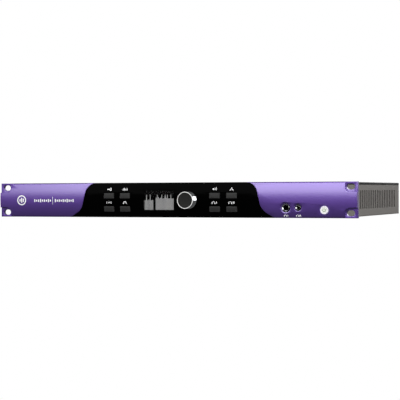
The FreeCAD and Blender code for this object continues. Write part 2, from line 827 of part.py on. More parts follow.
def make_power_button():
    piece = make_body("power_button", "power_x", "power_z")
    section = sideways(piece)
    outline(section, [
        ("power_front", "0"),
        ("plunger_end", "0"),
        ("plunger_end", "plunger_radius"),
        ("lip_back", "plunger_radius"),
        ("lip_back", "power_lip"),
        ("lip_front", "power_lip"),
        ("lip_front", "power_radius"),
        ("power_front", "power_radius"),
    ], {7: "button_rounding"})
    spin(piece, section)

    switch = make_body("power_switch", "power_x", "power_z")
    case = facing(switch, "power_switch_back")
    under = "phones_board_low + board_thickness - power_z"
    half = "power_switch_width / 2"
    panel(case, "0 - " + half, half, under, "0 - ( %s )" % under)
    pad(switch, case, "power_switch_back - switch_front")
    well = facing(switch, "switch_front")
    circle(well, "0", "0", "plunger_radius + plunger_gap")
    pocket(switch, well, "switch_well_end - switch_front")


# ---------------------------------------------------------------- headphone sockets

def make_socket(size):
    """Socket body with a threaded sleeve through the panel, and the ring nut that holds it."""
    body = make_body("phones_socket_" + size, size + "_socket_x", size + "_socket_z")
    under = "phones_board_low + board_thickness - %s_socket_z" % size
    half = "%s_body_width / 2" % size
    case = facing(body, size + "_body_end")
    panel(case, "0 - " + half, half, under, "%s + %s_body_height" % (under, size))
    pad(body, case, "%s_body_end - ear_thickness" % size)
    sleeve = facing(body, "ear_thickness")
    circle(sleeve, "0", "0", size + "_sleeve")
    pad(body, sleeve, "ear_thickness - ring_front - 0.3")
    bore = facing(body, "ring_front - 1")
    circle(bore, "0", "0", size + "_bore")
    pocket(body, bore, "%s_bore_end - ring_front + 1" % size)
    window = lying(body, "%s + %s_body_height" % (under, size))
    panel(window, "0 - 1.2", "1.2", "%s_bore_end * 0.5" % size, "%s_bore_end * 0.85" % size)
    pocket(body, window, "%s + %s_body_height - %s_bore * 0.8" % (under, size, size))

    ring = make_body("phones_ring_" + size, size + "_socket_x", size + "_socket_z")
    section = sideways(ring)
    outline(section, [
        ("ring_seat", size + "_sleeve"),
        ("ring_seat", size + "_ring"),
        ("ring_front", size + "_ring"),
        ("ring_front", size + "_sleeve"),
    ], {2: "0.5"})
    spin(ring, section)


def make_phones_contacts():
    """Leaf springs standing in the windows of the two sockets, clear of the plug."""
    piece = make_body("phones_contacts")
    for size in ("large", "small"):
        leaf = sideways(piece, size + "_socket_x")
        axis = size + "_socket_z"
        low = "%s + %s_bore + 0.15" % (axis, size)
        top = "phones_board_low + board_thickness + %s_body_height" % size
        near = "%s_bore_end * 0.5 + 0.3" % size
        far = "%s_bore_end * 0.85 - 0.3" % size
        outline(leaf, [
            (near, low),
            (far, low),
            (far, top),
            (far + " - 0.4", top),
            (far + " - 0.4", low + " + 0.4"),
            (near, low + " + 0.4"),
        ])
        pad(piece, leaf, "2.0", middle=True)


# ---------------------------------------------------------------- housing

COVER_SCREWS = [("%s * ( housing_width / 2 - 7 )" % side, depth)
                for side in ("1", "-1") for depth in ("25", "112", "199", "286")]
COVER_SCREWS += [("%s * 100" % side, REAR_INSIDE + " - rear_flange_depth / 2") for side in ("1", "-1")]
REAR_SCREWS = [("%s * %s" % (side, across), REAR_INSIDE + " - rear_flange_depth / 2")
               for side in ("1", "-1") for across in ("60", "180")]


def make_bottom_chassis():
    """Folded tray: floor, two vented sides and their inward flanges, and front tabs."""
    piece = make_body("bottom_chassis")
    outer = "housing_width / 2"
    inner = "( housing_width / 2 - sheet_thickness )"
    lip = "( housing_width / 2 - flange_width )"
    section = facing(piece, REAR_INSIDE)
    outline(section, [
        ("0 - " + outer, "0"),
        (outer, "0"),
        (outer, WALL_TOP),
        (lip, WALL_TOP),
        (lip, FLANGE_UNDER),
        (inner, FLANGE_UNDER),
        (inner, "sheet_thickness"),
        ("0 - " + inner, "sheet_thickness"),
        ("0 - " + inner, FLANGE_UNDER),
        ("0 - " + lip, FLANGE_UNDER),
        ("0 - " + lip, WALL_TOP),
        ("0 - " + outer, WALL_TOP),
    ], {0: "fold_radius", 1: "fold_radius", 2: "fold_radius", 11: "fold_radius"})
    pad(piece, section, REAR_INSIDE + " - ear_thickness")

    tabs = facing(piece, "ear_thickness + sheet_thickness")
    for across in ("tab_inner", "tab_outer", "0 - tab_inner", "0 - tab_outer"):
        panel(tabs, across + " - tab_width / 2", across + " + tab_width / 2",
              "sheet_thickness / 2", "tab_top")
        circle(tabs, across, "tab_screw_height", "standoff_bore")
    pad(piece, tabs, "sheet_thickness")

    vent = sideways(piece)
    half = "vent_width / 2"
    outline(vent, [
        ("vent_first - " + half, "vent_low"),
        ("vent_first + " + half, "vent_low"),
        ("vent_first + " + half, "vent_high"),
        ("vent_first - " + half, "vent_high"),
    ], {i: "vent_width * 0.3" for i in range(4)})
    slot = pocket(piece, vent, "housing_width + 10", middle=True)
    repeat(piece, slot, "Y_Axis", "vent_pitch", "vent_count")

    screw_holes = lying(piece, WALL_TOP)
    for across, depth in COVER_SCREWS[:8]:
        circle(screw_holes, across, depth, "standoff_bore")
    pocket(piece, screw_holes, "sheet_thickness")
    rear_holes = lying(piece, "sheet_thickness")
    rear_heads = lying(piece, "sheet_thickness / 2")
    for across, depth in REAR_SCREWS:
        circle(rear_holes, across, depth, "standoff_bore")
        circle(rear_heads, across, depth, "screw_head_radius")
    pocket(piece, rear_holes, "sheet_thickness + 1")
    pocket(piece, rear_heads, "sheet_thickness")


def make_top_cover():
    piece = make_body("top_cover")
    plate = lying(piece, WALL_TOP)
    panel(plate, "0 - housing_width / 2", "housing_width / 2", "ear_thickness", "housing_depth")
    for across, depth in COVER_SCREWS:
        circle(plate, across, depth, "standoff_bore")
    slab = pad(piece, plate, "cover_thickness")
    top = value("cover_top")

    def long_side(edge):
        box = edge.BoundBox
        return box.ZMin > top - 0.01 and box.YLength > value("housing_depth") / 2
    soften(piece, slab, long_side, "cover_thickness / 2")
    heads = lying(piece, "cover_top")
    for across, depth in COVER_SCREWS:
        circle(heads, across, depth, "screw_head_radius")
    pocket(piece, heads, "cover_thickness / 2")


def make_rear_panel():
    piece = make_body("rear_panel")
    plate = facing(piece, "housing_depth")
    panel(plate, "0 - housing_width / 2", "housing_width / 2", "0", WALL_TOP)
    pad(piece, plate, "rear_thickness")

    flanges = facing(piece, REAR_INSIDE)
    panel(flanges, "0 - rear_flange_width / 2", "rear_flange_width / 2",
          "sheet_thickness", "2 * sheet_thickness")
    panel(flanges, "0 - rear_flange_width / 2", "rear_flange_width / 2", FLANGE_UNDER, WALL_TOP)
    pad(piece, flanges, "rear_flange_depth")

    cuts = facing(piece, REAR_INSIDE + " - 1")
    for i in range(3):
        centre = "dsub_first + %d * dsub_pitch" % i
        rectangle(cuts, centre, "connector_axis", "dsub_shell_width + 0.4", "dsub_shell_height + 0.4", "2.7")
        for side in ("1", "-1"):
            circle(cuts, "%s + %s * dsub_screw_half" % (centre, side), "connector_axis",
                   "jackscrew_clearance")
    for i in range(2):
        circle(cuts, "phono_first + %d * phono_pitch" % i, "connector_axis", "phono_radius + 0.2")
        circle(cuts, "clock_first + %d * clock_pitch" % i, "connector_axis", "clock_radius + 0.1")
    rectangle(cuts, "usb_x", BOARD_TOP + " + usb_height / 2", "usb_width + 0.4", "usb_height + 0.4")
    rectangle(cuts, "inlet_x", "inlet_z", "inlet_body_width + 0.4", "inlet_body_height + 0.4")
    for side in ("1", "-1"):
        circle(cuts, "inlet_x + %s * inlet_screw_half" % side, "inlet_z", "standoff_bore")
    pocket(piece, cuts, "rear_thickness + 2")

    low_holes = lying(piece, "2 * sheet_thickness")
    for across, depth in REAR_SCREWS:
        circle(low_holes, across, depth, "standoff_bore")
    pocket(piece, low_holes, "sheet_thickness")
    top_holes = lying(piece, WALL_TOP)
    for across, depth in COVER_SCREWS[8:]:
        circle(top_holes, across, depth, "standoff_bore")
    pocket(piece, top_holes, "sheet_thickness")


# ---------------------------------------------------------------- boards

# Each board: left, right, front and back edges, and its screws as (across, depth)
BOARDS = {
    "main_board": (62, 210, 185, 302, [(67, 190), (205, 190), (67, 292), (205, 292)]),
    "converter_board": (-128, 56, 150, 302, [(-123, 155), (51, 155), (-123, 291), (51, 291)]),
    "power_supply_board": (-212, -134, 120, 286, [(-207, 125), (-139, 125), (-207, 281), (-139, 281)]),
}
PHONES_BOARD = (142, 212, 8.3, 46, [(147, 41.5), (207, 41.5), (178, 16)])


def make_level_board(label, left, right, front, back, screws, low):
    """Board lying level with a clearance hole at each of its screws."""
    piece = make_body(label)
    plate = lying(piece, low)
    panel(plate, str(left), str(right), str(front), str(back))
    for across, depth in screws:
        circle(plate, str(across), str(depth), "board_hole")
    pad(piece, plate, "board_thickness")


def make_boards():
    for label, (left, right, front, back, screws) in BOARDS.items():
        make_level_board(label, left, right, front, back, screws, "board_low")
    left, right, front, back, screws = PHONES_BOARD
    make_level_board("phones_board", left, right, front, back, screws, "phones_board_low")


def level_screw_groups():
    """Screws of the level boards as (underside of the board, list of places)."""
    high = [place for board in BOARDS.values() for place in board[4]]
    return [("board_low", high), ("phones_board_low", PHONES_BOARD[4])]


def control_posts():
    """Places of the posts between the front panel and the control board."""
    return [("%s * control_post_x" % side, up)
            for side in ("1", "-1") for up in ("control_post_low", "control_post_high")]


def make_board_standoffs():
    piece = make_body("board_standoffs")
    for low, places in level_screw_groups():
        rings = lying(piece, "sheet_thickness")
        for across, depth in places:
            circle(rings, str(across), str(depth), "standoff_radius")
            circle(rings, str(across), str(depth), "standoff_bore")
        pad(piece, rings, low + " - sheet_thickness")
    posts = facing(piece, "control_board_front")
    for across, up in control_posts():
        circle(posts, across, up, "standoff_radius")
        circle(posts, across, up, "standoff_bore")
    pad(piece, posts, "control_board_front - ear_thickness")


def make_board_screws():
    piece = make_body("board_screws")
    for low, places in level_screw_groups():
        top = low + " + board_thickness"
        shanks = lying(piece, low + " - 2")
        heads = lying(piece, top)
        for across, depth in places:
            circle(shanks, str(across), str(depth), "standoff_bore")
            circle(heads, str(across), str(depth), "screw_head_radius")
        pad(piece, shanks, "2 + board_thickness")
        pad(piece, heads, "screw_head_height")
    shanks = facing(piece, BACK_OF_BOARD)
    heads = facing(piece, BACK_OF_BOARD + " + screw_head_height")
    for across, up in control_posts():
        circle(shanks, across, up, "standoff_bore")
        circle(heads, across, up, "screw_head_radius")
    pad(piece, shanks, "board_thickness + 4")
    pad(piece, heads, "screw_head_height")


def make_chips(label, places):
    """Flat packages on a board: each is centre across, centre depth, width, depth, height."""
    piece = make_body(label)
    for height in sorted({place[4] for place in places}):
        plate = lying(piece, BOARD_TOP)
        for across, depth, width, deep, tall in places:
            if tall == height:
                rectangle(plate, str(across), str(depth), str(width), str(deep))
        pad(piece, plate, str(height))


def make_cans(label, places):
    """Upright cylinders on a board: each is centre across, centre depth, radius, height."""
    piece = make_body(label)
    for height in sorted({place[3] for place in places}):
        plate = lying(piece, BOARD_TOP)
        for across, depth, radius, tall in places:
            if tall == height:
                circle(plate, str(across), str(depth), str(radius))
        pad(piece, plate, str(height))


def make_board_parts():
    make_chips("main_board_chips", [
        (98, 216, 22, 22, 1.8), (136, 214, 16, 16, 1.4), (170, 222, 12, 18, 1.4),
        (98, 256, 10, 14, 1.8), (146, 256, 14, 14, 1.4), (190, 262, 10, 8, 1.8),
    ])
    amplifiers = [(-112 + 22 * i, row, 9, 6, 1.4) for i in range(7) for row in (176, 196)]
    converters = [(across, 226, 14, 14, 1.8) for across in (-96, -34, 28)]
    make_chips("converter_chips", amplifiers + converters)
    make_chips("input_relays", [(-104 + 20 * i, 280, 10, 7.5, 6) for i in range(7)])
    make_cans("converter_capacitors", [(-112 + 11 * i, 256, 3.15, 11) for i in range(14)])
    make_cans("supply_capacitors", [
        (-198, 246, 9, 28), (-150, 150, 5, 20), (-150, 164, 5, 20), (-150, 178, 5, 20),
    ])


def make_supply_parts():
    """Mains side of the power supply: transformer, choke, fuse and heat sink."""
    transformer = make_body("power_transformer")
    core = lying(transformer, BOARD_TOP)
    panel(core, "0 - 206", "0 - 172", "166", "200")
    pad(transformer, core, "18")
    winding = lying(transformer, BOARD_TOP + " + 18")
    panel(winding, "0 - 202", "0 - 176", "172", "194")
    pad(transformer, winding, "5")

    choke = make_body("supply_choke", "0 - 152")
    section = sideways(choke)
    panel(section, "246", "262", BOARD_TOP, BOARD_TOP + " + 16")
    pad(choke, section, "9", middle=True)
    eye = sideways(choke)
    circle(eye, "254", BOARD_TOP + " + 8", "4")
    pocket(choke, eye, "12", middle=True)

    fuse = make_body("mains_fuse")
    clips = lying(fuse, BOARD_TOP)
    for across in ("0 - 183", "0 - 165"):
        rectangle(clips, across, "268", "4", "7")
    pad(fuse, clips, "7")
    tube = sideways(fuse, "0 - 181")
    circle(tube, "268", BOARD_TOP + " + 4", "2.5")
    pad(fuse, tube, "14")

    sink = make_body("supply_heatsink")
    base = lying(sink, BOARD_TOP)
    panel(base, "0 - 174", "0 - 171", "206", "242")
    pad(sink, base, "24")
    fins = lying(sink, BOARD_TOP)
    panel(fins, "0 - 171", "0 - 160", "206", "207.4")
    fin = pad(sink, fins, "24")
    repeat(sink, fin, "Y_Axis", "34.6 / 6", "7")


def make_cables():
    """Flat cable from the control board to the converters, and the supply's harness."""
    ribbon = make_body("ribbon_cable", "0 - 60")
    route = sideways(ribbon)
    thick = "0.9"
    start = BACK_OF_BOARD + " + 6"
    outline(route, [
        (start, "26"),
        ("34", "26"),
        ("34", "15.9"),
        ("165.9", "15.9"),
        ("165.9", BOARD_TOP + " + 3"),
        ("165", BOARD_TOP + " + 3"),
        ("165", "15"),
        ("33.1", "15"),
        ("33.1", "25.1"),
        (start, "25.1"),
    ], {1: "3", 2: "2.1", 3: "3", 6: "2.1", 7: "3", 8: "2.1"})
    pad(ribbon, route, "26", middle=True)
    front_plug = facing(ribbon, start)
    rectangle(front_plug, "0", "25.5", "30", "6")
    pad(ribbon, front_plug, "6")
    rear_plug = lying(ribbon, BOARD_TOP)
    rectangle(rear_plug, "0", "165.5", "30", "6")
    pad(ribbon, rear_plug, "3")

    harness = make_body("power_harness")
    plugs = lying(harness, BOARD_TOP)
    rectangle(plugs, "0 - 140", "210", "5", "18")
    rectangle(plugs, "0 - 122", "210", "5", "18")
    pad(harness, plugs, "7")
    route = facing(harness, "217")
    outline(route, [
        ("0 - 140.8", BOARD_TOP + " + 7"),
        ("0 - 140.8", "24"),
        ("0 - 121.2", "24"),
        ("0 - 121.2", BOARD_TOP + " + 7"),
        ("0 - 122.8", BOARD_TOP + " + 7"),
        ("0 - 122.8", "22.4"),
        ("0 - 139.2", "22.4"),
        ("0 - 139.2", BOARD_TOP + " + 7"),
    ], {1: "3", 2: "3", 5: "1.4", 6: "1.4"})
    pad(harness, route, "14")


# ---------------------------------------------------------------- rear connectors

def make_analog_connectors():
    piece = make_body("analog_connectors")
    centres = ["dsub_first + %d * dsub_pitch" % i for i in range(3)]
    inside = facing(piece, REAR_INSIDE + " - 1")
    flange = facing(piece, REAR_INSIDE)
    shell = facing(piece, "housing_depth + dsub_shell_reach")
    for centre in centres:
        rectangle(inside, centre, "connector_axis", "dsub_body_width", "dsub_flange_height")
        rectangle(flange, centre, "connector_axis", "dsub_flange_width", "dsub_flange_height", "1")
        for side in ("1", "-1"):
            circle(flange, "%s + %s * dsub_screw_half" % (centre, side), "connector_axis",
                   "jackscrew_clearance")
        rectangle(shell, centre, "connector_axis", "dsub_shell_width", "dsub_shell_height", "2.5")
    pad(piece, inside, "10")
    pad(piece, flange, "1")
    pad(piece, shell, "rear_thickness + dsub_shell_reach")


def make_connector_jackscrews():
    piece = make_body("connector_jackscrews")
    shanks = facing(piece, "housing_depth")
    heads = facing(piece, "housing_depth + jackscrew_reach")
    for i in range(3):
        for side in ("1", "-1"):
            across = "dsub_first + %d * dsub_pitch + %s * dsub_screw_half" % (i, side)
            circle(shanks, across, "connector_axis", "jackscrew_thread")
            circle(heads, across, "connector_axis", "jackscrew_radius")
    pad(piece, shanks, "rear_thickness + 4")
    pad(piece, heads, "jackscrew_reach")
    taps = facing(piece, "housing_depth + jackscrew_reach")
    for i in range(3):
        for side in ("1", "-1"):
            circle(taps, "dsub_first + %d * dsub_pitch + %s * dsub_screw_half" % (i, side),
                   "connector_axis", "jackscrew_thread")
    pocket(piece, taps, "jackscrew_reach - 0.5", flip=True)


def make_round_connectors():
    phono = make_body("digital_connectors")
    blocks = facing(phono, REAR_INSIDE)
    barrels = facing(phono, "housing_depth + phono_reach")
    bores = facing(phono, "housing_depth + phono_reach")
    for i in range(2):
        centre = "phono_first + %d * phono_pitch" % i
        panel(blocks, centre + " - 5.5", centre + " + 5.5", BOARD_TOP, "connector_axis + 6")
        circle(barrels, centre, "connector_axis", "phono_radius")
        circle(bores, centre, "connector_axis", "phono_bore")
    pad(phono, blocks, "12")
    pad(phono, barrels, "rear_thickness + phono_reach")
    pocket(phono, bores, "phono_reach", flip=True)

    clock = make_body("clock_connectors")
    blocks = facing(clock, REAR_INSIDE)
    barrels = facing(clock, "housing_depth + clock_reach")
    bores = facing(clock, "housing_depth + clock_reach")
    lugs = lying(clock, "connector_axis - 5.8")
    for i in range(2):
        centre = "clock_first + %d * clock_pitch" % i
        panel(blocks, centre + " - 7", centre + " + 7", BOARD_TOP, "connector_axis + 7")
        circle(barrels, centre, "connector_axis", "clock_radius")
        circle(bores, centre, "connector_axis", "clock_bore")
        circle(bores, centre, "connector_axis", "clock_post")
        circle(lugs, centre, "housing_depth + clock_reach - 3", "1")
    pad(clock, blocks, "12")
    pad(clock, barrels, "rear_thickness + clock_reach")
    pad(clock, lugs, "11.6")
    pocket(clock, bores, "clock_reach - 3", flip=True)
    nuts = make_body("clock_connector_nuts")
    rings = facing(nuts, "housing_depth + clock_nut_thickness")
    for i in range(2):
        centre = "clock_first + %d * clock_pitch" % i
        circle(rings, centre, "connector_axis", "clock_nut")
        circle(rings, centre, "connector_axis", "clock_radius")
    pad(nuts, rings, "clock_nut_thickness")


def make_usb_port():
    piece = make_body("usb_port", "usb_x", BOARD_TOP + " + usb_height / 2")
    case = facing(piece, "housing_depth + usb_reach")
    rectangle(case, "0", "0", "usb_width", "usb_height")
    pad(piece, case, "rear_thickness + 12 + usb_reach")
    mouth = facing(piece, "housing_depth + usb_reach")
    rectangle(mouth, "0", "0", "usb_mouth_width", "usb_mouth_height")
    rectangle(mouth, "0", "0", "usb_tongue_width", "usb_tongue_height")
    pocket(piece, mouth, "9", flip=True)


def make_mains_inlet():
    front = "housing_depth + inlet_flange_thickness"
    piece = make_body("mains_inlet", "inlet_x", "inlet_z")
    case = facing(piece, "housing_depth")
    rectangle(case, "0", "0", "inlet_body_width", "inlet_body_height")
    pad(piece, case, "housing_depth - inlet_body_end")
    flange = facing(piece, front)
    rectangle(flange, "0", "0", "inlet_flange_width", "inlet_flange_height", "3")
    for side in ("1", "-1"):
        circle(flange, "%s * inlet_screw_half" % side, "0", "1.6")
    pad(piece, flange, "inlet_flange_thickness")
    mouth = facing(piece, front)
    rectangle(mouth, "0", "0", "inlet_mouth_width", "inlet_mouth_height", "2.5")
    pocket(piece, mouth, front + " - inlet_mouth_end", flip=True)
    blades = facing(piece, "inlet_mouth_end")
    for across, up in PIN_PLACES:
        rectangle(blades, across, up, "2", "4")
    pocket(piece, blades, "4", flip=True)

    pins = make_body("inlet_pins", "inlet_x", "inlet_z")
    prongs = facing(pins, front + " - 1.5")
    for across, up in PIN_PLACES:
        rectangle(prongs, across, up, "2", "4")
    pad(pins, prongs, front + " - 1.5 - inlet_mouth_end + 4")

    screws = make_body("inlet_screws", "inlet_x", "inlet_z")
    shanks = facing(screws, front)
    heads = facing(screws, front + " + screw_head_height")
    for side in ("1", "-1"):
        circle(shanks, "%s * inlet_screw_half" % side, "0", "standoff_bore")
        circle(heads, "%s * inlet_screw_half" % side, "0", "screw_head_radius")
    pad(screws, shanks, "inlet_flange_thickness + rear_thickness + 3")
    pad(screws, heads, "screw_head_height")


PIN_PLACES = [("0 - 7", "0 - 2"), ("7", "0 - 2"), ("0", "4")]


# ---------------------------------------------------------------- fasteners

def make_housing_screws():
    front = make_body("front_panel_screws")
    shanks = facing(front, "ear_thickness + sheet_thickness")
    heads = facing(front, "ear_thickness + sheet_thickness + screw_head_height")
    for across in ("tab_inner", "tab_outer", "0 - tab_inner", "0 - tab_outer"):
        circle(shanks, across, "tab_screw_height", "standoff_bore")
        circle(heads, across, "tab_screw_height", "screw_head_radius")
    pad(front, shanks, "sheet_thickness + 2.5")
    pad(front, heads, "screw_head_height")

    cover = make_body("cover_screws")
    shanks = lying(cover, FLANGE_UNDER + " - 1")
    heads = lying(cover, "cover_top - cover_thickness / 2")
    for across, depth in COVER_SCREWS:
        circle(shanks, across, depth, "standoff_bore")
        circle(heads, across, depth, "screw_head_radius")
    pad(cover, shanks, "sheet_thickness + 1 + cover_thickness / 2")
    pad(cover, heads, "cover_thickness / 2")

    rear = make_body("rear_panel_screws")
    shanks = lying(rear, "sheet_thickness / 2")
    heads = lying(rear, "0")
    for across, depth in REAR_SCREWS:
        circle(shanks, across, depth, "standoff_bore")
        circle(heads, across, depth, "screw_head_radius")
    pad(rear, shanks, "1.5 * sheet_thickness + 1")
    pad(rear, heads, "sheet_thickness / 2")


# ---------------------------------------------------------------- build and export

def check_and_export():
    """Refuse any failed object, then write one file for each piece."""
    doc.recompute()
    for item in doc.Objects:
        if "Invalid" in item.State or "Error" in item.State:
            raise RuntimeError("%s is %s" % (item.Label, item.State))
    os.makedirs("parts", exist_ok=True)
    for piece in nodes:
        if piece.Shape.isNull() or not piece.Shape.isValid():
            raise RuntimeError("%s has no valid shape" % piece.Label)
        piece.Shape.exportStep("parts/%s.step" % piece.Label)


make_front_panel()
make_display_fascia()
make_display()
for name, (place_x, place_z) in BUTTON_PLACES.items():
    make_button(name, place_x, place_z)
make_tactile_switches()
make_control_board()
make_encoder()
make_knob()
make_power_button()
make_socket("large")
make_socket("small")
make_phones_contacts()
make_bottom_chassis()
make_top_cover()
make_rear_panel()
make_boards()
make_board_standoffs()
make_board_screws()
make_board_parts()
make_supply_parts()
make_cables()
make_analog_connectors()
make_connector_jackscrews()
make_round_connectors()
make_usb_port()
make_mains_inlet()
make_housing_screws()
check_and_export()
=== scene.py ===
"""A one-unit rack audio interface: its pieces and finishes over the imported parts.

Sizes are in millimetres from the plane of the rack ears, the width along X, the
depth along Y and the height along Z. They become metres when a piece is made.
"""

import math

import bmesh
import bpy
from mathutils import Matrix, Vector


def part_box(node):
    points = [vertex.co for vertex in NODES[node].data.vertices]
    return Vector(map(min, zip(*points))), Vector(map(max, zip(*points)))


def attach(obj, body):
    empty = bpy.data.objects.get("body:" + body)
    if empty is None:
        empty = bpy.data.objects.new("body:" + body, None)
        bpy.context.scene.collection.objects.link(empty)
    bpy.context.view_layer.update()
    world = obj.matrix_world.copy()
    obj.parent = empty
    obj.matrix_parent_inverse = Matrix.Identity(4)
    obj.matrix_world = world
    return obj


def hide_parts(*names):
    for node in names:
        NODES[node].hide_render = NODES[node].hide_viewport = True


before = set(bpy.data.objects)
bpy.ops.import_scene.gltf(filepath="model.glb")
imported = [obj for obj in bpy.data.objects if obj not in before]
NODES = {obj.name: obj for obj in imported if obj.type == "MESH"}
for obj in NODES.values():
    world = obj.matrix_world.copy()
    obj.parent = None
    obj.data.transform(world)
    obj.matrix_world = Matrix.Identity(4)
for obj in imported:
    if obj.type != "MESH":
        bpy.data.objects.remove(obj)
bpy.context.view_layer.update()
MM = 0.001

# The parts' own places, from their boxes.
EAR_THICKNESS = 4.5
EAR_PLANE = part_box("front_panel")[1].y / MM - EAR_THICKNESS
PANEL_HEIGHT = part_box("front_panel")[1].z / MM
PANEL_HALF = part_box("front_panel")[1].x / MM

# The bowed front: how far it stands out in the middle and at its edges.
BOW_DEPTH = 3.65
BOW_EDGE = 0.6
BOW_RISE = BOW_DEPTH - BOW_EDGE
BOW_RADIUS = ((PANEL_HEIGHT / 2) ** 2 + BOW_RISE ** 2) / (2 * BOW_RISE)

# The panel's top and bottom edges roll back along nearly a quarter of a circle.
EDGE_ROLL = 1.5
ROLL_REACH = 0.98
EDGE_ROUNDING = 0.6

# The S-shaped ends of the black fascia, and where its back and the panel's shelf meet.
FASCIA_BACK = 1.0
FASCIA_TOP = 101.1
FASCIA_FOOT = 137.8
FASCIA_SHOULDER = 15.5
FASCIA_WAIST = 19.0
FASCIA_LEAN = math.radians(14)
FASCIA_FLARE = math.radians(59.5)
FASCIA_GAP = 0.15

# The rack ears: corner notches and slots.
NOTCH_REACH = 15.1
NOTCH_DROP = 12.1
NOTCH_ROUNDING = 6.0
SLOT_CENTRE = 232.55
SLOT_HEIGHTS = (5.955, 37.705)
SLOT_SIZE = (10.3, 6.9)

# The rubber keys: what shows of them, and the lip and plunger behind the panel.
KEY_SIZE = (13.9, 6.9)
KEY_ROUNDING = 0.8
KEY_PROUD = 0.8
KEY_LIP = 1.2
LIP_FRONT = 4.8
LIP_BACK = 5.8
PLUNGER_RADIUS = 1.75
PLUNGER_END = 9.0

# The power button and the knob's bushing.
POWER_RADIUS = 4.9
POWER_LIP = 6.3
BUSHING_HOLE = 4.5
BUSHING_CLEARANCE = 5.6


# ---------------------------------------------------------------- shapes


def extent(node):
    """Lowest and highest corners of a part, in millimetres from the ear plane."""
    shift = Vector((0, EAR_PLANE, 0))
    low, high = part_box(node)
    return low / MM - shift, high / MM - shift


def middle(node):
    """Centre of a part, in millimetres from the ear plane."""
    low, high = extent(node)
    return (low + high) / 2


def bowed(height):
    """Depth of the bowed front at a height."""
    drop = height - PANEL_HEIGHT / 2
    return BOW_RADIUS - BOW_DEPTH - math.sqrt(BOW_RADIUS ** 2 - drop ** 2)


def flat(depth):
    """A depth that is the same at every height."""
    return lambda height: depth


def above_bow(lift):
    """A depth that stands out from the bowed front by a lift."""
    return lambda height: bowed(height) - lift


def arc(centre, radius, start, stop, steps):
    """Points along an arc, with angles in radians from +X towards +Z."""
    turns = [start + (stop - start) * step / steps for step in range(steps + 1)]
    return [(centre[0] + radius * math.cos(turn), centre[1] + radius * math.sin(turn)) for turn in turns]


def disc(centre, radius, steps=48):
    """Outline of a circle."""
    return arc(centre, radius, 0, math.tau, steps)[:-1]


def rounded(centre, width, height, rounding, steps=6):
    """Outline of a rectangle with rounded corners."""
    outline = []
    for side, rise, start in ((1, 1, 0), (-1, 1, 1), (-1, -1, 2), (1, -1, 3)):
        corner = (centre[0] + side * (width / 2 - rounding), centre[1] + rise * (height / 2 - rounding))
        outline += arc(corner, rounding, start * math.pi / 2, (start + 1) * math.pi / 2, steps)
    return outline


def ribbon(points, width):
    """Outline of a stroke of even width along some points."""
    path = [Vector(point) for point in points]
    left = []
    right = []
    for index, point in enumerate(path):
        before = path[max(index - 1, 0)]
        after = path[min(index + 1, len(path) - 1)]
        along = (after - before).normalized()
        across = Vector((-along.y, along.x)) * width / 2
        left.append(tuple(point + across))
        right.append(tuple(point - across))
    return left + right[::-1]


def rolled(height):
    """Depth of the bowed front, which rolls back along its top and bottom edges."""
    past = max(0.0, abs(height - PANEL_HEIGHT / 2) - PANEL_HEIGHT / 2 + EDGE_ROLL)
    past = min(past, EDGE_ROLL * ROLL_REACH)
    return bowed(height) + EDGE_ROLL - math.sqrt(EDGE_ROLL ** 2 - past ** 2)


def plate(loops, front, back, rows=1, rounding=0.0, cuts=()):
    """Solid over a flat outline; loops are the outline, then its holes.

    front and back give a depth for each height, so that a face can follow the bow.
    The rim of the front face and of its holes is rounded.
    """
    solid = bmesh.new()
    for loop in loops:
        corners = [solid.verts.new((x, 0, z)) for x, z in loop]
        for first, second in zip(corners, corners[1:] + corners[:1]):
            solid.edges.new((first, second))
    bmesh.ops.remove_doubles(solid, verts=solid.verts[:], dist=0.001)
    bmesh.ops.triangle_fill(solid, edges=solid.edges[:], use_beauty=True)
    low = min(corner.co.z for corner in solid.verts)
    high = max(corner.co.z for corner in solid.verts)
    for level in [low + (high - low) * row / rows for row in range(1, rows)] + list(cuts):
        everything = solid.verts[:] + solid.edges[:] + solid.faces[:]
        bmesh.ops.bisect_plane(solid, geom=everything, plane_co=(0, 0, level), plane_no=(0, 0, 1), dist=0.05)
    copied = bmesh.ops.extrude_face_region(solid, geom=solid.faces[:])["geom"]
    rear = {item for item in copied if isinstance(item, bmesh.types.BMVert)}
    for corner in solid.verts:
        depth = back if corner in rear else front
        corner.co.y = depth(corner.co.z)
    bmesh.ops.recalc_face_normals(solid, faces=solid.faces[:])
    if rounding:
        rim = [edge for edge in solid.edges
               if edge.is_manifold and edge.calc_face_angle() > 0.9 and not rear.intersection(edge.verts)]
        bmesh.ops.bevel(solid, geom=rim, offset=rounding, offset_type="OFFSET", segments=3, profile=0.5,
                        affect="EDGES", clamp_overlap=False, loop_slide=False)
        for corner in solid.verts:
            corner.co.z = min(max(corner.co.z, low), high)
    return solid


def lathe(profile, centre, steps=72, closed=False):
    """Solid turned round a front-to-back axis from (radius, depth) points.

    A closed profile is a ring's section; an open one starts and ends on the axis.
    """
    solid = bmesh.new()
    corners = [solid.verts.new((centre[0] + radius, depth, centre[1])) for radius, depth in profile]
    pairs = list(zip(corners, corners[1:]))
    if closed:
        pairs.append((corners[-1], corners[0]))
    edges = [solid.edges.new(pair) for pair in pairs]
    bmesh.ops.spin(solid, geom=corners + edges, cent=(centre[0], 0, centre[1]), axis=(0, 1, 0),
                   angle=math.tau, steps=steps, use_merge=True)
    bmesh.ops.remove_doubles(solid, verts=solid.verts[:], dist=0.0005)
    bmesh.ops.recalc_face_normals(solid, faces=solid.faces[:])
    return solid


def behind(front, section):
    """Section points (radius, depth) whose depths are given from a part's front."""
    return [(radius, front + depth) for radius, depth in section]


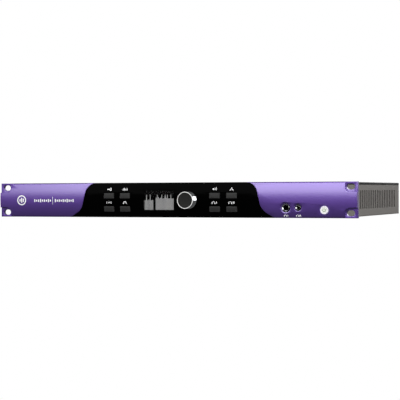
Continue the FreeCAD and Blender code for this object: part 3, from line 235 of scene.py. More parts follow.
def joined(solids):
    """One mesh from several solids, which are used up."""
    whole = bmesh.new()
    for solid in solids:
        passing = bpy.data.meshes.new("passing")
        solid.to_mesh(passing)
        whole.from_mesh(passing)
        bpy.data.meshes.remove(passing)
        solid.free()
    return whole


def settle(name, mesh, finish, body, stands_for=(), sharp=32):
    """Puts a finished mesh on its body, with smooth faces and sharp edges."""
    mesh.shade_smooth()
    mesh.set_sharp_from_angle(angle=math.radians(sharp))
    mesh.materials.clear()
    mesh.materials.append(finish)
    made = bpy.data.objects.new(name, mesh)
    bpy.context.scene.collection.objects.link(made)
    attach(made, body)
    if stands_for:
        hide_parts(*stands_for)
    return made


def piece(name, solids, finish, body, stands_for=(), sharp=32):
    """Makes one piece from solids drawn in millimetres."""
    whole = joined(solids)
    for corner in whole.verts:
        corner.co = (corner.co + Vector((0, EAR_PLANE, 0))) * MM
    mesh = bpy.data.meshes.new(name)
    whole.to_mesh(mesh)
    whole.free()
    return settle(name, mesh, finish, body, stands_for, sharp)


def softened(name, node, finish, body, rounding):
    """A part's own shape with its edges rounded, so that they catch the light."""
    whole = bmesh.new()
    whole.from_mesh(NODES[node].data)
    bmesh.ops.remove_doubles(whole, verts=whole.verts[:], dist=0.00001)
    bmesh.ops.dissolve_limit(whole, angle_limit=math.radians(1), verts=whole.verts[:], edges=whole.edges[:])
    mesh = bpy.data.meshes.new(name)
    whole.to_mesh(mesh)
    whole.free()
    made = settle(name, mesh, finish, body, (node,))
    bevel = made.modifiers.new("rounded edges", "BEVEL")
    bevel.width = rounding * MM
    bevel.segments = 2
    bevel.limit_method = "ANGLE"
    bevel.angle_limit = math.radians(40)
    bevel.harden_normals = True
    return made


def islands(node, axis):
    """Centres of a part's separate solids, each at its highest point along an axis, in metres."""
    whole = bmesh.new()
    whole.from_mesh(NODES[node].data)
    bmesh.ops.remove_doubles(whole, verts=whole.verts[:], dist=0.00001)
    waiting = set(whole.verts)
    places = []
    while waiting:
        reached = [waiting.pop()]
        for corner in reached:
            for edge in corner.link_edges:
                beside = edge.other_vert(corner)
                if beside in waiting:
                    waiting.remove(beside)
                    reached.append(beside)
        low = Vector([min(corner.co[way] for corner in reached) for way in range(3)])
        high = Vector([max(corner.co[way] for corner in reached) for way in range(3)])
        centre = (low + high) / 2
        way = max(range(3), key=lambda index: abs(axis[index]))
        centre[way] = high[way] if axis[way] > 0 else low[way]
        places.append(centre)
    whole.free()
    return places


# ---------------------------------------------------------------- finishes


def colour(code):
    """An sRGB hex value as the linear colour that shaders take."""
    shares = [int(code[place:place + 2], 16) / 255 for place in (1, 3, 5)]
    lit = [share / 12.92 if share <= 0.04045 else ((share + 0.055) / 1.055) ** 2.4 for share in shares]
    return (*lit, 1.0)


# A colour Mix node's sockets, which share their names with those for its other kinds of value.
MIX_SHARE = 0
MIX_A = 6
MIX_B = 7
MIX_RESULT = 2


def add(tree, kind, settings=None, links=None, **choices):
    """Adds a node with its choices, the values of its sockets and what feeds them."""
    node = tree.nodes.new(kind)
    for name, choice in choices.items():
        setattr(node, name, choice)
    for socket, setting in (settings or {}).items():
        node.inputs[socket].default_value = setting
    for socket, source in (links or {}).items():
        tree.links.new(source, node.inputs[socket])
    return node


def per_mm(size):
    """Pattern scale for features of a size in millimetres."""
    return 1 / (size * MM)


def grained(name, dark, light, grain, roughness, metallic=0.0, relief=0.0, detail=2.0, **sockets):
    """A finish whose colour and roughness vary with a fine grain of a size in millimetres."""
    material = bpy.data.materials.new(name)
    material.use_nodes = True
    tree = material.node_tree
    tree.nodes.clear()
    place = add(tree, "ShaderNodeTexCoord")
    noise = add(tree, "ShaderNodeTexNoise", {"Scale": per_mm(grain), "Detail": detail, "Roughness": 0.6},
                {"Vector": place.outputs["Object"]})
    tone = add(tree, "ShaderNodeMix", {MIX_A: colour(dark), MIX_B: colour(light)},
               {MIX_SHARE: noise.outputs["Fac"]}, data_type="RGBA")
    rough = add(tree, "ShaderNodeMapRange", {"To Min": roughness[0], "To Max": roughness[1]},
                {"Value": noise.outputs["Fac"]})
    settings = {"Metallic": metallic}
    settings.update({socket.replace("_", " "): value for socket, value in sockets.items()})
    shader = add(tree, "ShaderNodeBsdfPrincipled", settings,
                 {"Base Color": tone.outputs[MIX_RESULT], "Roughness": rough.outputs["Result"]})
    if relief:
        bump = add(tree, "ShaderNodeBump", {"Strength": 1.0, "Distance": relief * MM},
                   {"Height": noise.outputs["Fac"]})
        tree.links.new(bump.outputs["Normal"], shader.inputs["Normal"])
    add(tree, "ShaderNodeOutputMaterial", None, {"Surface": shader.outputs["BSDF"]})
    return material


# Dyed anodised aluminium, bead blasted: the dye colours a broad satin reflection,
# and the clear oxide over it adds a whiter, tighter one near the light.
ANODISED_VIOLET = grained("violet anodised aluminium", "#6440a8", "#6c44ae", 0.6, (0.49, 0.55), metallic=1.0,
                          relief=0.004, Coat_Weight=1.0, Coat_Roughness=0.27, Coat_IOR=2.0)
# Cast acrylic with an anti-reflection hard coat, printed on its back: an even deep black.
GLOSS_BLACK = grained("black cast acrylic", "#020202", "#030303", 30, (0.10, 0.14), Specular_IOR_Level=0.01)
# Silicone rubber, moulded in a blasted tool: soft and almost without shine.
KEY_RUBBER = grained("moulded silicone rubber", "#2c2c2c", "#343434", 0.35, (0.6, 0.75), relief=0.01,
                     Specular_IOR_Level=0.3)
# The same rubber where fingers have polished it: a little darker and smoother.
KEY_RUBBER_WORN = grained("silicone rubber, polished by fingers", "#262626", "#2c2c2c", 0.35, (0.45, 0.6),
                          relief=0.006, Specular_IOR_Level=0.3)
# Ground and lacquered aluminium: a pale silver, with a painted glow that makes it evenly bright from every
# side.
GLOWING_SILVER_RIM = grained("ground silver rim with painted glow", "#f6f6f4", "#fefefc", 1.0, (0.45, 0.55), metallic=0.1,
                     Emission_Color=colour("#ffffff"), Emission_Strength=0.12)
# Chromium plate over polished brass: a clear mirror with faint handling marks.
CHROME = grained("polished chromium plate", "#d2d4d8", "#e4e6e8", 4, (0.12, 0.18), metallic=1.0)
# Nickel plate over turned brass: warmer and softer than chrome.
NICKEL = grained("nickel plate", "#a9a69c", "#bfbcb2", 1.5, (0.22, 0.32), metallic=1.0)
# Zinc plate over drawn steel: a dull blue-grey metal.
STEEL = grained("zinc-plated steel", "#8f9296", "#aaadb0", 1.2, (0.3, 0.42), metallic=1.0)
# Steel blackened in hot oxide salts: dark metal with a soft edge light.
BLACK_OXIDE = grained("black oxide steel", "#1b1b1c", "#262628", 0.8, (0.35, 0.5), metallic=1.0)
# Gold flash over nickel: small warm glints.
GOLD = grained("gold-plated contact", "#c59a4a", "#d8b066", 1.0, (0.2, 0.3), metallic=1.0)
# Powder coat over folded steel: a fine pebbled black skin, about half a millimetre across.
COVER_BLACK = grained("black powder coat", "#0b0a09", "#100f0e", 0.6, (0.6, 0.7), relief=0.012)
# Enamel rolled on sheet aluminium: smoother than the powder coat.
REAR_BLACK = grained("black enamel on aluminium", "#191919", "#202020", 0.8, (0.4, 0.5), relief=0.006)
# Glass-filled nylon: near black, with a dull moulded sheen.
NYLON_BLACK = grained("black glass-filled nylon", "#141414", "#1d1d1d", 0.5, (0.45, 0.6), relief=0.006)
# Polyester moulding, deep in its bore: black without a highlight.
SOCKET_BLACK = grained("black moulded socket", "#060606", "#0b0b0b", 0.5, (0.5, 0.6))
# Opal polycarbonate with a painted glow: bright, and even across its ring.
GLOWING_OPAL_WHITE = grained("opal polycarbonate with painted glow", "#e9e6ee", "#f4f2f7", 2.0, (0.25, 0.35),
                     Emission_Color=colour("#f4f0f8"), Emission_Strength=0.14)
# The silvered middle of the same button: a shade greener than its ring, with a stronger painted glow.
GLOWING_OPAL_SILVER = grained("silvered opal lens with painted glow", "#d3dccd", "#dde4d8", 1.0, (0.3, 0.4),
                      Emission_Color=colour("#e4ead8"), Emission_Strength=0.25)
# Screen-printed epoxy ink: clean white and matt, with a faint painted glow.
GLOWING_PRINT_WHITE = grained("white screen print with painted glow", "#f2f2f4", "#fcfcfc", 0.8, (0.4, 0.5),
                      Emission_Color=colour("#ffffff"), Emission_Strength=0.15)
PRINT_SYMBOL = grained("printed power symbol", "#6d7370", "#7a807d", 0.8, (0.4, 0.5))
# Fibreglass board under solder resist: glossy green over copper.
BOARD_GREEN = grained("green solder resist", "#0e3d22", "#175030", 3.0, (0.25, 0.4))
# Moulded epoxy: charcoal grey and slightly sandy.
CHIP_BLACK = grained("moulded epoxy package", "#151516", "#1f1f21", 0.4, (0.5, 0.6))
# Moulded polyester: warm off-white boxes on the board.
RELAY_CREAM = grained("cream polyester case", "#cfc8b4", "#d9d3c1", 1.0, (0.35, 0.45))
# Vinyl shrunk over aluminium cans: dark blue and shiny.
CAPACITOR_SLEEVE = grained("shrunk vinyl sleeve", "#1c2742", "#24304e", 2.0, (0.25, 0.35))
# Polyester tape over copper windings: golden yellow.
WINDING_TAPE = grained("yellow polyester tape", "#c79a2c", "#d6ac3e", 1.5, (0.3, 0.4))
# Vinyl-covered ribbon: plain matt grey.
RIBBON_GREY = grained("grey ribbon cable", "#8d9195", "#9ba0a4", 1.3, (0.4, 0.5))
# Extruded aluminium, left bare: a pale satin metal.
BARE_ALUMINIUM = grained("extruded aluminium", "#b4b6b8", "#c4c6c8", 1.0, (0.3, 0.4), metallic=1.0)
# Fuse glass with its metal caps, seen as one pale shiny body.
FUSE_GLASS = grained("fuse glass", "#d6dad8", "#e2e6e4", 3.0, (0.05, 0.1))
# Polarising film over a dark display: nearly black, and matt behind its window.
SCREEN_BLACK = grained("dark display panel", "#0d0d0d", "#101010", 1.0, (0.8, 0.9), Specular_IOR_Level=0.02)
# Display segments: an even grey glow over a dark ground.
SEGMENT_GREY = grained("lit display segments", "#a0a0a0", "#a0a0a0", 1.0, (0.5, 0.6),
                       Emission_Color=colour("#a0a0a0"), Emission_Strength=1.5)
# Cast acrylic, lightly smoked, so that the display behind it stays dark where it is off.
# Its index stands near air's for the coat against reflections, which keeps its face from shining.
WINDOW_GLASS = grained("smoked acrylic window", "#b0b0b0", "#b6b6b6", 20, (0.15, 0.18),
                       Transmission_Weight=1.0, IOR=1.12)
# Diamond-cut insert in the knob: dark, mottled facets, drawn at twice their real half millimetre.
KNOB_MOTTLE = grained("mottled dark insert", "#010101", "#1e1e1c", 1.1, (0.4, 0.6), relief=0.08, detail=4.0,
                      Specular_IOR_Level=0.3)

# How far out the tray's grey coat begins: inside its walls and above its floor the coat gives way to a dark
# colour, painted shade.
SHADE_INSIDE_REACH = 219.7
SHADE_ABOVE_FLOOR = 1.8


def grey_coat_with_painted_shade_inside():
    """Grey powder coat on the tray's outer faces, with a dark colour painted as shade inside and in the
    vents' walls.

    The coat is a fine pebbled skin, about half a millimetre across.
    """
    material = grained("warm grey powder coat with painted shade inside", "#84807c", "#8c8884", 0.6, (0.5, 0.62),
                       relief=0.012)
    tree = material.node_tree
    shader = next(node for node in tree.nodes if node.type == "BSDF_PRINCIPLED")
    coat = shader.inputs["Base Color"].links[0].from_socket
    place = add(tree, "ShaderNodeTexCoord")
    apart = add(tree, "ShaderNodeSeparateXYZ", None, {0: place.outputs["Object"]})
    aside = add(tree, "ShaderNodeMath", None, {0: apart.outputs["X"]}, operation="ABSOLUTE")
    within = add(tree, "ShaderNodeMath", {1: SHADE_INSIDE_REACH * MM}, {0: aside.outputs[0]}, operation="LESS_THAN")
    over = add(tree, "ShaderNodeMath", {1: SHADE_ABOVE_FLOOR * MM}, {0: apart.outputs["Z"]},
               operation="GREATER_THAN")
    painted_shade = add(tree, "ShaderNodeMath", None, {0: within.outputs[0], 1: over.outputs[0]},
                 operation="MULTIPLY")
    # Painted shade: the dark colour that fills the tray's inside and its vents' walls.
    tone = add(tree, "ShaderNodeMix", {MIX_B: colour("#2a2826")}, {MIX_SHARE: painted_shade.outputs[0], MIX_A: coat},
               data_type="RGBA")
    tree.links.new(tone.outputs[MIX_RESULT], shader.inputs["Base Color"])
    return material


HOUSING_GREY_AND_SHADE = grey_coat_with_painted_shade_inside()

for node, finish in {
        "display_module": SCREEN_BLACK, "tactile_switches": CHIP_BLACK, "control_board": BOARD_GREEN,
        "encoder_body": STEEL, "encoder_rotor": NYLON_BLACK, "encoder_shaft": STEEL,
        "power_switch": CHIP_BLACK, "phones_socket_large": SOCKET_BLACK, "phones_socket_small": SOCKET_BLACK,
        "phones_contacts": GOLD, "phones_board": BOARD_GREEN, "bottom_chassis": HOUSING_GREY_AND_SHADE,
        "top_cover": COVER_BLACK, "rear_panel": REAR_BLACK, "main_board": BOARD_GREEN,
        "converter_board": BOARD_GREEN, "power_supply_board": BOARD_GREEN, "board_standoffs": NICKEL,
        "board_screws": STEEL, "main_board_chips": CHIP_BLACK, "converter_chips": CHIP_BLACK,
        "input_relays": RELAY_CREAM, "converter_capacitors": CAPACITOR_SLEEVE,
        "supply_capacitors": CAPACITOR_SLEEVE, "power_transformer": WINDING_TAPE,
        "supply_choke": WINDING_TAPE, "mains_fuse": FUSE_GLASS, "supply_heatsink": BARE_ALUMINIUM,
        "ribbon_cable": RIBBON_GREY,
        "power_harness": RIBBON_GREY, "analog_connectors": NICKEL, "connector_jackscrews": NICKEL,
        "digital_connectors": GOLD, "clock_connectors": NICKEL, "clock_connector_nuts": NICKEL,
        "usb_port": NICKEL, "mains_inlet": NYLON_BLACK, "inlet_pins": NICKEL, "inlet_screws": BLACK_OXIDE,
        "front_panel_screws": STEEL, "cover_screws": BLACK_OXIDE, "rear_panel_screws": BLACK_OXIDE,
        "front_panel": ANODISED_VIOLET, "display_fascia": GLOSS_BLACK, "display_window": WINDOW_GLASS,
        "power_button": GLOWING_OPAL_WHITE, "control_knob": CHROME, "knob_face": KNOB_MOTTLE,
        "phones_ring_large": CHROME, "phones_ring_small": CHROME}.items():
    NODES[node].data.materials.clear()
    NODES[node].data.materials.append(finish)


# ---------------------------------------------------------------- front panel


def fascia_side(shift):
    """Right end of the fascia from its top corner to its foot, drawn in by a shift."""
    lean = Vector((math.sin(FASCIA_LEAN), -math.cos(FASCIA_LEAN)))
    flare = Vector((math.sin(FASCIA_FLARE), -math.cos(FASCIA_FLARE)))
    outward = Vector((math.cos(FASCIA_LEAN), math.sin(FASCIA_LEAN)))
    foot = Vector((FASCIA_FOOT - shift, 0))
    shoulder = Vector((FASCIA_TOP - shift, PANEL_HEIGHT - FASCIA_SHOULDER))
    shoulder_end = shoulder + outward * FASCIA_SHOULDER
    across = foot - shoulder_end
    run = (across.x * flare.y - across.y * flare.x) / (lean.x * flare.y - lean.y * flare.x)
    corner = shoulder_end + lean * run
    reach = FASCIA_WAIST * math.tan((FASCIA_FLARE - FASCIA_LEAN) / 2)
    waist = corner - lean * reach + outward * FASCIA_WAIST
    side = arc(shoulder, FASCIA_SHOULDER, math.pi / 2, FASCIA_LEAN, 16)
    side += arc(waist, FASCIA_WAIST, math.pi + FASCIA_LEAN, math.pi + FASCIA_FLARE, 18)
    return side + [tuple(foot)]


def mirrored(outline):
    return [(-x, z) for x, z in reversed(outline)]


def fascia_outline(shift):
    right = fascia_side(shift)
    return right + mirrored(right)


def wing_outline():
    """Right violet end of the panel, with the two notched corners."""
    inner = PANEL_HALF - NOTCH_REACH
    curl = NOTCH_ROUNDING
    lower = [(inner, 0)]
    lower += arc((inner + curl, NOTCH_DROP - curl), curl, math.pi, math.pi / 2, 8)
    lower += [(PANEL_HALF, NOTCH_DROP)]
    upper = [(x, PANEL_HEIGHT - z) for x, z in reversed(lower)]
    return lower + upper + fascia_side(0)


KEY_BODIES = ("input_button", "channel_button", "phantom_power_button", "soft_limit_button",
              "headphone_1_button", "speaker_button", "headphone_2_button", "talkback_button")
KEYS = {name: middle(name) for name in KEY_BODIES}
KEY_OPENING = (KEY_SIZE[0] + 0.4, KEY_SIZE[1] + 0.4)
OPENING_ROUNDING = 0.9
KNOB_CENTRE = middle("control_knob")
WINDOW_LOW, WINDOW_HIGH = extent("display_window")
WINDOW_CENTRE = ((WINDOW_LOW.x + WINDOW_HIGH.x) / 2, (WINDOW_LOW.z + WINDOW_HIGH.z) / 2)
WINDOW_SIZE = (WINDOW_HIGH.x - WINDOW_LOW.x, WINDOW_HIGH.z - WINDOW_LOW.z)
WINDOW_GAP = 0.1


def face_openings():
    """Holes for the keys and the display."""
    holes = [rounded((centre.x, centre.z), *KEY_OPENING, OPENING_ROUNDING) for centre in KEYS.values()]
    holes.append(rounded(WINDOW_CENTRE, WINDOW_SIZE[0] + WINDOW_GAP, WINDOW_SIZE[1] + WINDOW_GAP, 0.6))
    return holes


# Sinks in the right wing: centre, radius of the sink and of the hole in it, depth of its floor.
LARGE_SOCKET = middle("phones_ring_large")
SMALL_SOCKET = middle("phones_ring_small")
POWER = middle("power_button")
SINKS = ((LARGE_SOCKET, 6.75, 4.7, -1.9), (SMALL_SOCKET, 5.0, 3.1, -1.9),
         (POWER, 6.1, POWER_RADIUS + 0.15, -1.6))
SINK_RIM = 0.5
SINK_SLOPE = 0.1
OVERLAP = 0.02

# The core plate behind the fascia reaches a little under the ears' inner ends.
EAR_INNER = PANEL_HALF - NOTCH_REACH - 6
CORE_REACH = EAR_INNER + 0.1
roll_cuts = [EDGE_ROLL * share for share in (0.12, 0.3, 0.5, 0.75)]
roll_cuts += [PANEL_HEIGHT - cut for cut in roll_cuts]


def ear_outline(side):
    """Flat ear behind the notched corners, with its two rack slots."""
    outline = [(EAR_INNER, 0), (PANEL_HALF, 0), (PANEL_HALF, PANEL_HEIGHT), (EAR_INNER, PANEL_HEIGHT)]
    slots = [rounded((SLOT_CENTRE, height), *SLOT_SIZE, SLOT_SIZE[1] / 2 - 0.01, 10)
             for height in SLOT_HEIGHTS]
    loops = [outline, *slots]
    return [mirrored(loop) for loop in loops] if side < 0 else loops


def wing(outline, holes=()):
    """One violet end of the panel, from its bowed face to the plane of the ears."""
    return plate([outline, *holes], rolled, flat(OVERLAP), 40, EDGE_ROUNDING, roll_cuts)


def sink_wall(centre, sink, hole, floor):
    """The dished wall of a sink and the hole through its floor."""
    rim = bowed(centre.z) + SINK_RIM
    section = ((sink + OVERLAP, rim), (sink - SINK_SLOPE, rim), (hole, floor), (hole, EAR_THICKNESS),
               (sink + OVERLAP, EAR_THICKNESS))
    return lathe(section, (centre.x, centre.z), closed=True)


sink_holes = [disc((centre.x, centre.z), sink, 56) for centre, sink, hole, floor in SINKS]
panel_solids = [wing(wing_outline(), sink_holes), wing(mirrored(wing_outline()))]
for side in (1, -1):
    panel_solids.append(plate(ear_outline(side), flat(0), flat(EAR_THICKNESS), 1, 0.25))
core = [(CORE_REACH, 0), (CORE_REACH, PANEL_HEIGHT)]
core_holes = face_openings()
core_holes.append(disc((KNOB_CENTRE.x, KNOB_CENTRE.z), BUSHING_CLEARANCE))
core_holes += [disc((centre.x, centre.z), sink) for centre, sink, hole, floor in SINKS]
panel_solids.append(plate([core + mirrored(core), *core_holes], flat(FASCIA_BACK), flat(EAR_THICKNESS)))
panel_solids += [sink_wall(*row) for row in SINKS]
piece("anodised_front", panel_solids, ANODISED_VIOLET, "housing", ("front_panel",))

fascia_loops = [fascia_outline(FASCIA_GAP), *face_openings(),
                disc((KNOB_CENTRE.x, KNOB_CENTRE.z), BUSHING_HOLE)]
piece("acrylic_fascia", [plate(fascia_loops, bowed, flat(FASCIA_BACK - OVERLAP), 40, 0.25)],
      GLOSS_BLACK, "housing", ("display_fascia",))

# ---------------------------------------------------------------- keys


def plunger(centre):
    """The pin behind a button, which presses its switch."""
    return lathe([(0, LIP_BACK - 0.1), (PLUNGER_RADIUS, LIP_BACK - 0.1), (PLUNGER_RADIUS, PLUNGER_END),
                  (0, PLUNGER_END)], (centre.x, centre.z), 24)


def key_solids(centre):
    """A rubber key with a rounded rim, the lip that holds it behind the panel, and its plunger."""
    rim = rounded((centre.x, centre.z), *KEY_SIZE, KEY_ROUNDING)
    lip = rounded((centre.x, centre.z), KEY_SIZE[0] + 2 * KEY_LIP, KEY_SIZE[1] + 2 * KEY_LIP, KEY_ROUNDING)
    return [plate([rim], above_bow(KEY_PROUD), flat(LIP_FRONT + 0.05), 6, 0.7),
            plate([lip], flat(LIP_FRONT), flat(LIP_BACK)), plunger(centre)]


def dish(centre):
    """The finger's polished field in the middle of a key."""
    field = rounded((centre.x, centre.z), KEY_SIZE[0] - 3.4, KEY_SIZE[1] - 2.6, 1.2)
    return plate([field], above_bow(KEY_PROUD + 0.03), above_bow(0.3), 4, 0.03)


for name, centre in KEYS.items():
    piece(name + "_key", key_solids(centre), KEY_RUBBER, name + "_body", (name,))
    piece(name + "_field", [dish(centre)], KEY_RUBBER_WORN, name + "_body", ())

# ---------------------------------------------------------------- printed marks


def printed(name, marks):
    """White marks on the bowed front; each mark is an outline with its holes."""
    inks = [plate(loops, above_bow(INK_RISE), above_bow(INK_ROOT), 4) for loops in marks]
    piece(name, inks, GLOWING_PRINT_WHITE, "housing", ())


def moved(outline, centre):
    """An outline drawn round nought, brought to its place."""
    return [(x + centre[0], z + centre[1]) for x, z in outline]


def bar(x, z, width, height):
    """Outline of an upright bar with eased corners."""
    return rounded((x, z), width, height, min(width, height) * 0.3, 3)


INK_RISE = 0.04
INK_ROOT = -0.05
STROKE = 0.7
SYMBOL_SCALE = 1.25
SYMBOLS = {
    # an arrow into a bracket
    "input_button": [[ribbon([(-2.2, 0), (0.4, 0)], STROKE)], [[(0.2, 0.9), (1.4, 0), (0.2, -0.9)]],
                     [ribbon([(1.0, 1.2), (2.1, 1.2), (2.1, -1.2), (1.0, -1.2)], STROKE)]],
    # four channel bars
    "channel_button": [[bar(-2.1, -0.1, 0.7, 2.0)], [bar(-0.7, 0.1, 0.7, 2.4)], [bar(0.7, -0.3, 0.7, 1.6)],
                       [bar(2.1, 0, 0.7, 2.2)]],
    # a lightning flash between two supply rails
    "phantom_power_button": [[[(0.7, 1.3), (-1.0, -0.2), (0.0, -0.2), (-0.6, -1.3), (1.1, 0.3),
                               (0.1, 0.3)]], [bar(-2.3, 0, 0.6, 2.2)], [bar(2.3, 0, 0.6, 2.2)]],
    # a wave with a flattened top
    "soft_limit_button": [[ribbon([(-2.0, -1.1), (-1.4, -0.9), (-0.9, 0.9), (0.9, 0.9), (1.4, -0.9),
                                   (2.0, -1.1)], STROKE)]],
    # a loudspeaker with two waves
    "headphone_1_button": [[[(-2.2, 0.5), (-1.4, 0.5), (-0.5, 1.3), (-0.5, -1.3), (-1.4, -0.5),
                             (-2.2, -0.5)]],
                           [ribbon(arc((-0.6, 0), 1.4, -0.8, 0.8, 6), 0.4)],
                           [ribbon(arc((-0.6, 0), 2.5, -0.65, 0.65, 6), 0.4)]],
    # a peaked wave
    "speaker_button": [[ribbon([(-2.0, -1.1), (-0.9, -0.9), (0, 1.2), (0.9, -0.9), (2.0, -1.1)], STROKE)]],
    # a pair of headphones, with one or two pips
    "headphone_2_button": [[ribbon(arc((-1.0, -0.6), 1.6, 0.1, 3.04, 8), 0.4)], [bar(-2.5, -0.7, 0.8, 1.3)],
                           [bar(0.5, -0.7, 0.8, 1.3)], [bar(2.2, 0, 0.6, 2.0)]],
    "talkback_button": [[ribbon(arc((-1.3, -0.6), 1.6, 0.1, 3.04, 8), 0.4)], [bar(-2.8, -0.7, 0.8, 1.3)],
                        [bar(0.2, -0.7, 0.8, 1.3)], [bar(1.8, 0, 0.6, 2.0)], [bar(2.8, 0, 0.6, 2.0)]],
}
SYMBOL_RISE = 8.2
symbols = []
for name, drawings in SYMBOLS.items():
    centre = (KEYS[name].x, KEYS[name].z + SYMBOL_RISE)
    for drawing in drawings:
        enlarged = [[(x * SYMBOL_SCALE, z * SYMBOL_SCALE) for x, z in loop] for loop in drawing]
        symbols.append([moved(loop, centre) for loop in enlarged])
printed("key_symbols", symbols)

# A ring with three level bars, and two rows of level bars beside a thin rule.
MARK = (-209.0, 21.6)
marks = [[disc(MARK, 6.5, 40), disc(MARK, 5.1, 40)]]
for offset, height in ((-2.4, 3.4), (0, 6.6), (2.4, 4.6)):
    marks.append([bar(MARK[0] + offset, MARK[1], 1.5, height)])
MARK_LINE = 21.1
MARK_PITCH = 2.85
MARK_BAR = 1.5
LEFT_ROW = (3.6, 2.4, 3.2, 4.4, 2.6, 3.4, 2.4, 4.0, 2.6)
RIGHT_ROW = (4.2, 2.6, 3.4, 2.4, 3.6, 2.8, 4.4, 3.0, 2.4, 3.8)
for start, row in ((-189.5, LEFT_ROW), (-159.3, RIGHT_ROW)):
    for index, height in enumerate(row):
        marks.append([bar(start + index * MARK_PITCH, MARK_LINE, MARK_BAR, height)])
marks.append([bar(-163.3, MARK_LINE, 0.4, 9.7)])
printed("panel_marks", marks)

# A pair of headphones with one or two pips under each socket.
SOCKET_MARK_LINE = 2.9
socket_marks = []
for centre, pips in ((LARGE_SOCKET, (2.1,)), (SMALL_SOCKET, (1.7, 2.8))):
    place = (centre.x, SOCKET_MARK_LINE)
    socket_marks += [[moved(ribbon(arc((-0.9, -0.5), 1.4, 0.05, 3.09, 8), 0.55), place)],
                     [moved(bar(-2.2, -0.5, 0.95, 1.3), place)], [moved(bar(0.4, -0.5, 0.95, 1.3), place)]]
    socket_marks += [[moved(bar(pip, 0, 0.75, 2.1), place)] for pip in pips]
printed("socket_marks", socket_marks)

# ---------------------------------------------------------------- repeated parts


def tree_with(name, sockets):
    """An empty geometry tree with named inputs."""
    tree = bpy.data.node_groups.new(name, "GeometryNodeTree")
    tree.interface.new_socket("Geometry", in_out="INPUT", socket_type="NodeSocketGeometry")
    tree.interface.new_socket("Geometry", in_out="OUTPUT", socket_type="NodeSocketGeometry")
    for socket, kind in sockets.items():
        tree.interface.new_socket(socket, in_out="INPUT", socket_type="NodeSocket" + kind)
    return tree


def close_tree(tree, geometry, finish):
    """Ends a tree: instances become real, and take their finish."""
    real = add(tree, "GeometryNodeRealizeInstances", None, {"Geometry": geometry})
    coated = add(tree, "GeometryNodeSetMaterial", None, {"Geometry": real.outputs[0], "Material": finish})
    add(tree, "NodeGroupOutput", None, {"Geometry": coated.outputs[0]})


def grown(name, tree, points, values):
    """Runs a tree on some points, in metres, and gives back the plain mesh."""
    seedbed = bpy.data.meshes.new(name)
    seedbed.from_pydata([tuple(point) for point in points], [], [])
    holder = bpy.data.objects.new(name + "_seed", seedbed)
    bpy.context.scene.collection.objects.link(holder)
    modifier = holder.modifiers.new("growth", "NODES")
    modifier.node_group = tree
    for item in tree.interface.items_tree:
        if item.item_type == "SOCKET" and item.in_out == "INPUT" and item.name in values:
            modifier[item.identifier] = values[item.name]
    bpy.context.view_layer.update()
    evaluated = holder.evaluated_get(bpy.context.evaluated_depsgraph_get())
    mesh = bpy.data.meshes.new_from_object(evaluated)
    mesh.name = name
    bpy.data.objects.remove(holder)
    return mesh


def meter_tree():
    """A row of level bars standing on a line, with a few taller peaks."""
    tree = tree_with("level meters", {
        "Bars": "Int", "Pitch": "Float", "Width": "Float", "Depth": "Float", "Lowest": "Float",
        "Spread": "Float", "Seed": "Int", "Material": "Material"})
    given = add(tree, "NodeGroupInput").outputs
    step = add(tree, "ShaderNodeCombineXYZ", None, {"X": given["Pitch"]})
    line = add(tree, "GeometryNodeMeshLine", None, {"Count": given["Bars"], "Offset": step.outputs[0]})
    chance = add(tree, "FunctionNodeRandomValue", None, {"Seed": given["Seed"]}, data_type="FLOAT")
    peaks = add(tree, "ShaderNodeMath", {1: 3.0}, {0: chance.outputs[1]}, operation="POWER")
    rise = add(tree, "ShaderNodeMath", None,
               {0: peaks.outputs[0], 1: given["Spread"], 2: given["Lowest"]}, operation="MULTIPLY_ADD")
    size = add(tree, "ShaderNodeCombineXYZ", None,
               {"X": given["Width"], "Y": given["Depth"], "Z": rise.outputs[0]})
    block = add(tree, "GeometryNodeMeshCube")
    raised = add(tree, "GeometryNodeTransform", {"Translation": (0, 0, 0.5)}, {"Geometry": block.outputs[0]})
    bars = add(tree, "GeometryNodeInstanceOnPoints", None,
               {"Points": line.outputs[0], "Instance": raised.outputs[0], "Scale": size.outputs[0]})
    placed = add(tree, "GeometryNodeInstanceOnPoints", None,
                 {"Points": given["Geometry"], "Instance": bars.outputs[0]})
    close_tree(tree, placed.outputs[0], given["Material"])
    return tree


# The rows of level bars: side, first bar, number of bars, their pitch and height, and which have peaks.
METERS = meter_tree()
METER_LINE = 9.5
SCREEN_DEPTH = -1.1
METER_DEPTH = SCREEN_DEPTH - 0.06
BAR_WIDTH = 1.15
BAR_SPREAD = 3.0
PEAK_WIDTH = 0.85
PEAK_HEIGHT = 18.9
PEAK_SPREAD = 1.0
METER_ROWS = (("left", -34.5, 8, 1.68, 12.0, (2, 5)), ("right", -18.0, 16, 1.54, 14.2, (1, 5, 8, 10, 13)))
for side, start, bars, pitch, level, peaks in METER_ROWS:
    sizes = {"Pitch": pitch * MM, "Depth": 0.1 * MM, "Material": SEGMENT_GREY}
    seat = Vector((start, METER_DEPTH + EAR_PLANE, METER_LINE)) * MM
    rows = grown(side + "_levels", METERS, [seat], {
        **sizes, "Bars": bars, "Width": BAR_WIDTH * MM, "Lowest": level * MM,
        "Spread": BAR_SPREAD * MM, "Seed": 4})
    settle(side + "_levels", rows, SEGMENT_GREY, "housing", ())
    seats = [seat + Vector((peak * pitch * MM, 0, 0)) for peak in peaks]
    rows = grown(side + "_peaks", METERS, seats, {
        **sizes, "Bars": 1, "Width": PEAK_WIDTH * MM, "Lowest": PEAK_HEIGHT * MM,
        "Spread": PEAK_SPREAD * MM, "Seed": 1})
    settle(side + "_peaks", rows, SEGMENT_GREY, "housing", ())

LENS_THICKNESS = 0.9
window_outline = rounded(WINDOW_CENTRE, *WINDOW_SIZE, 0.5)
piece("display_lens", [plate([window_outline], bowed, above_bow(-LENS_THICKNESS), 24)], WINDOW_GLASS,
      "housing", ("display_window",))
piece("display_screen", [plate([window_outline], flat(SCREEN_DEPTH), flat(FASCIA_BACK))], SCREEN_BLACK,
      "housing", ())

# ---------------------------------------------------------------- knob

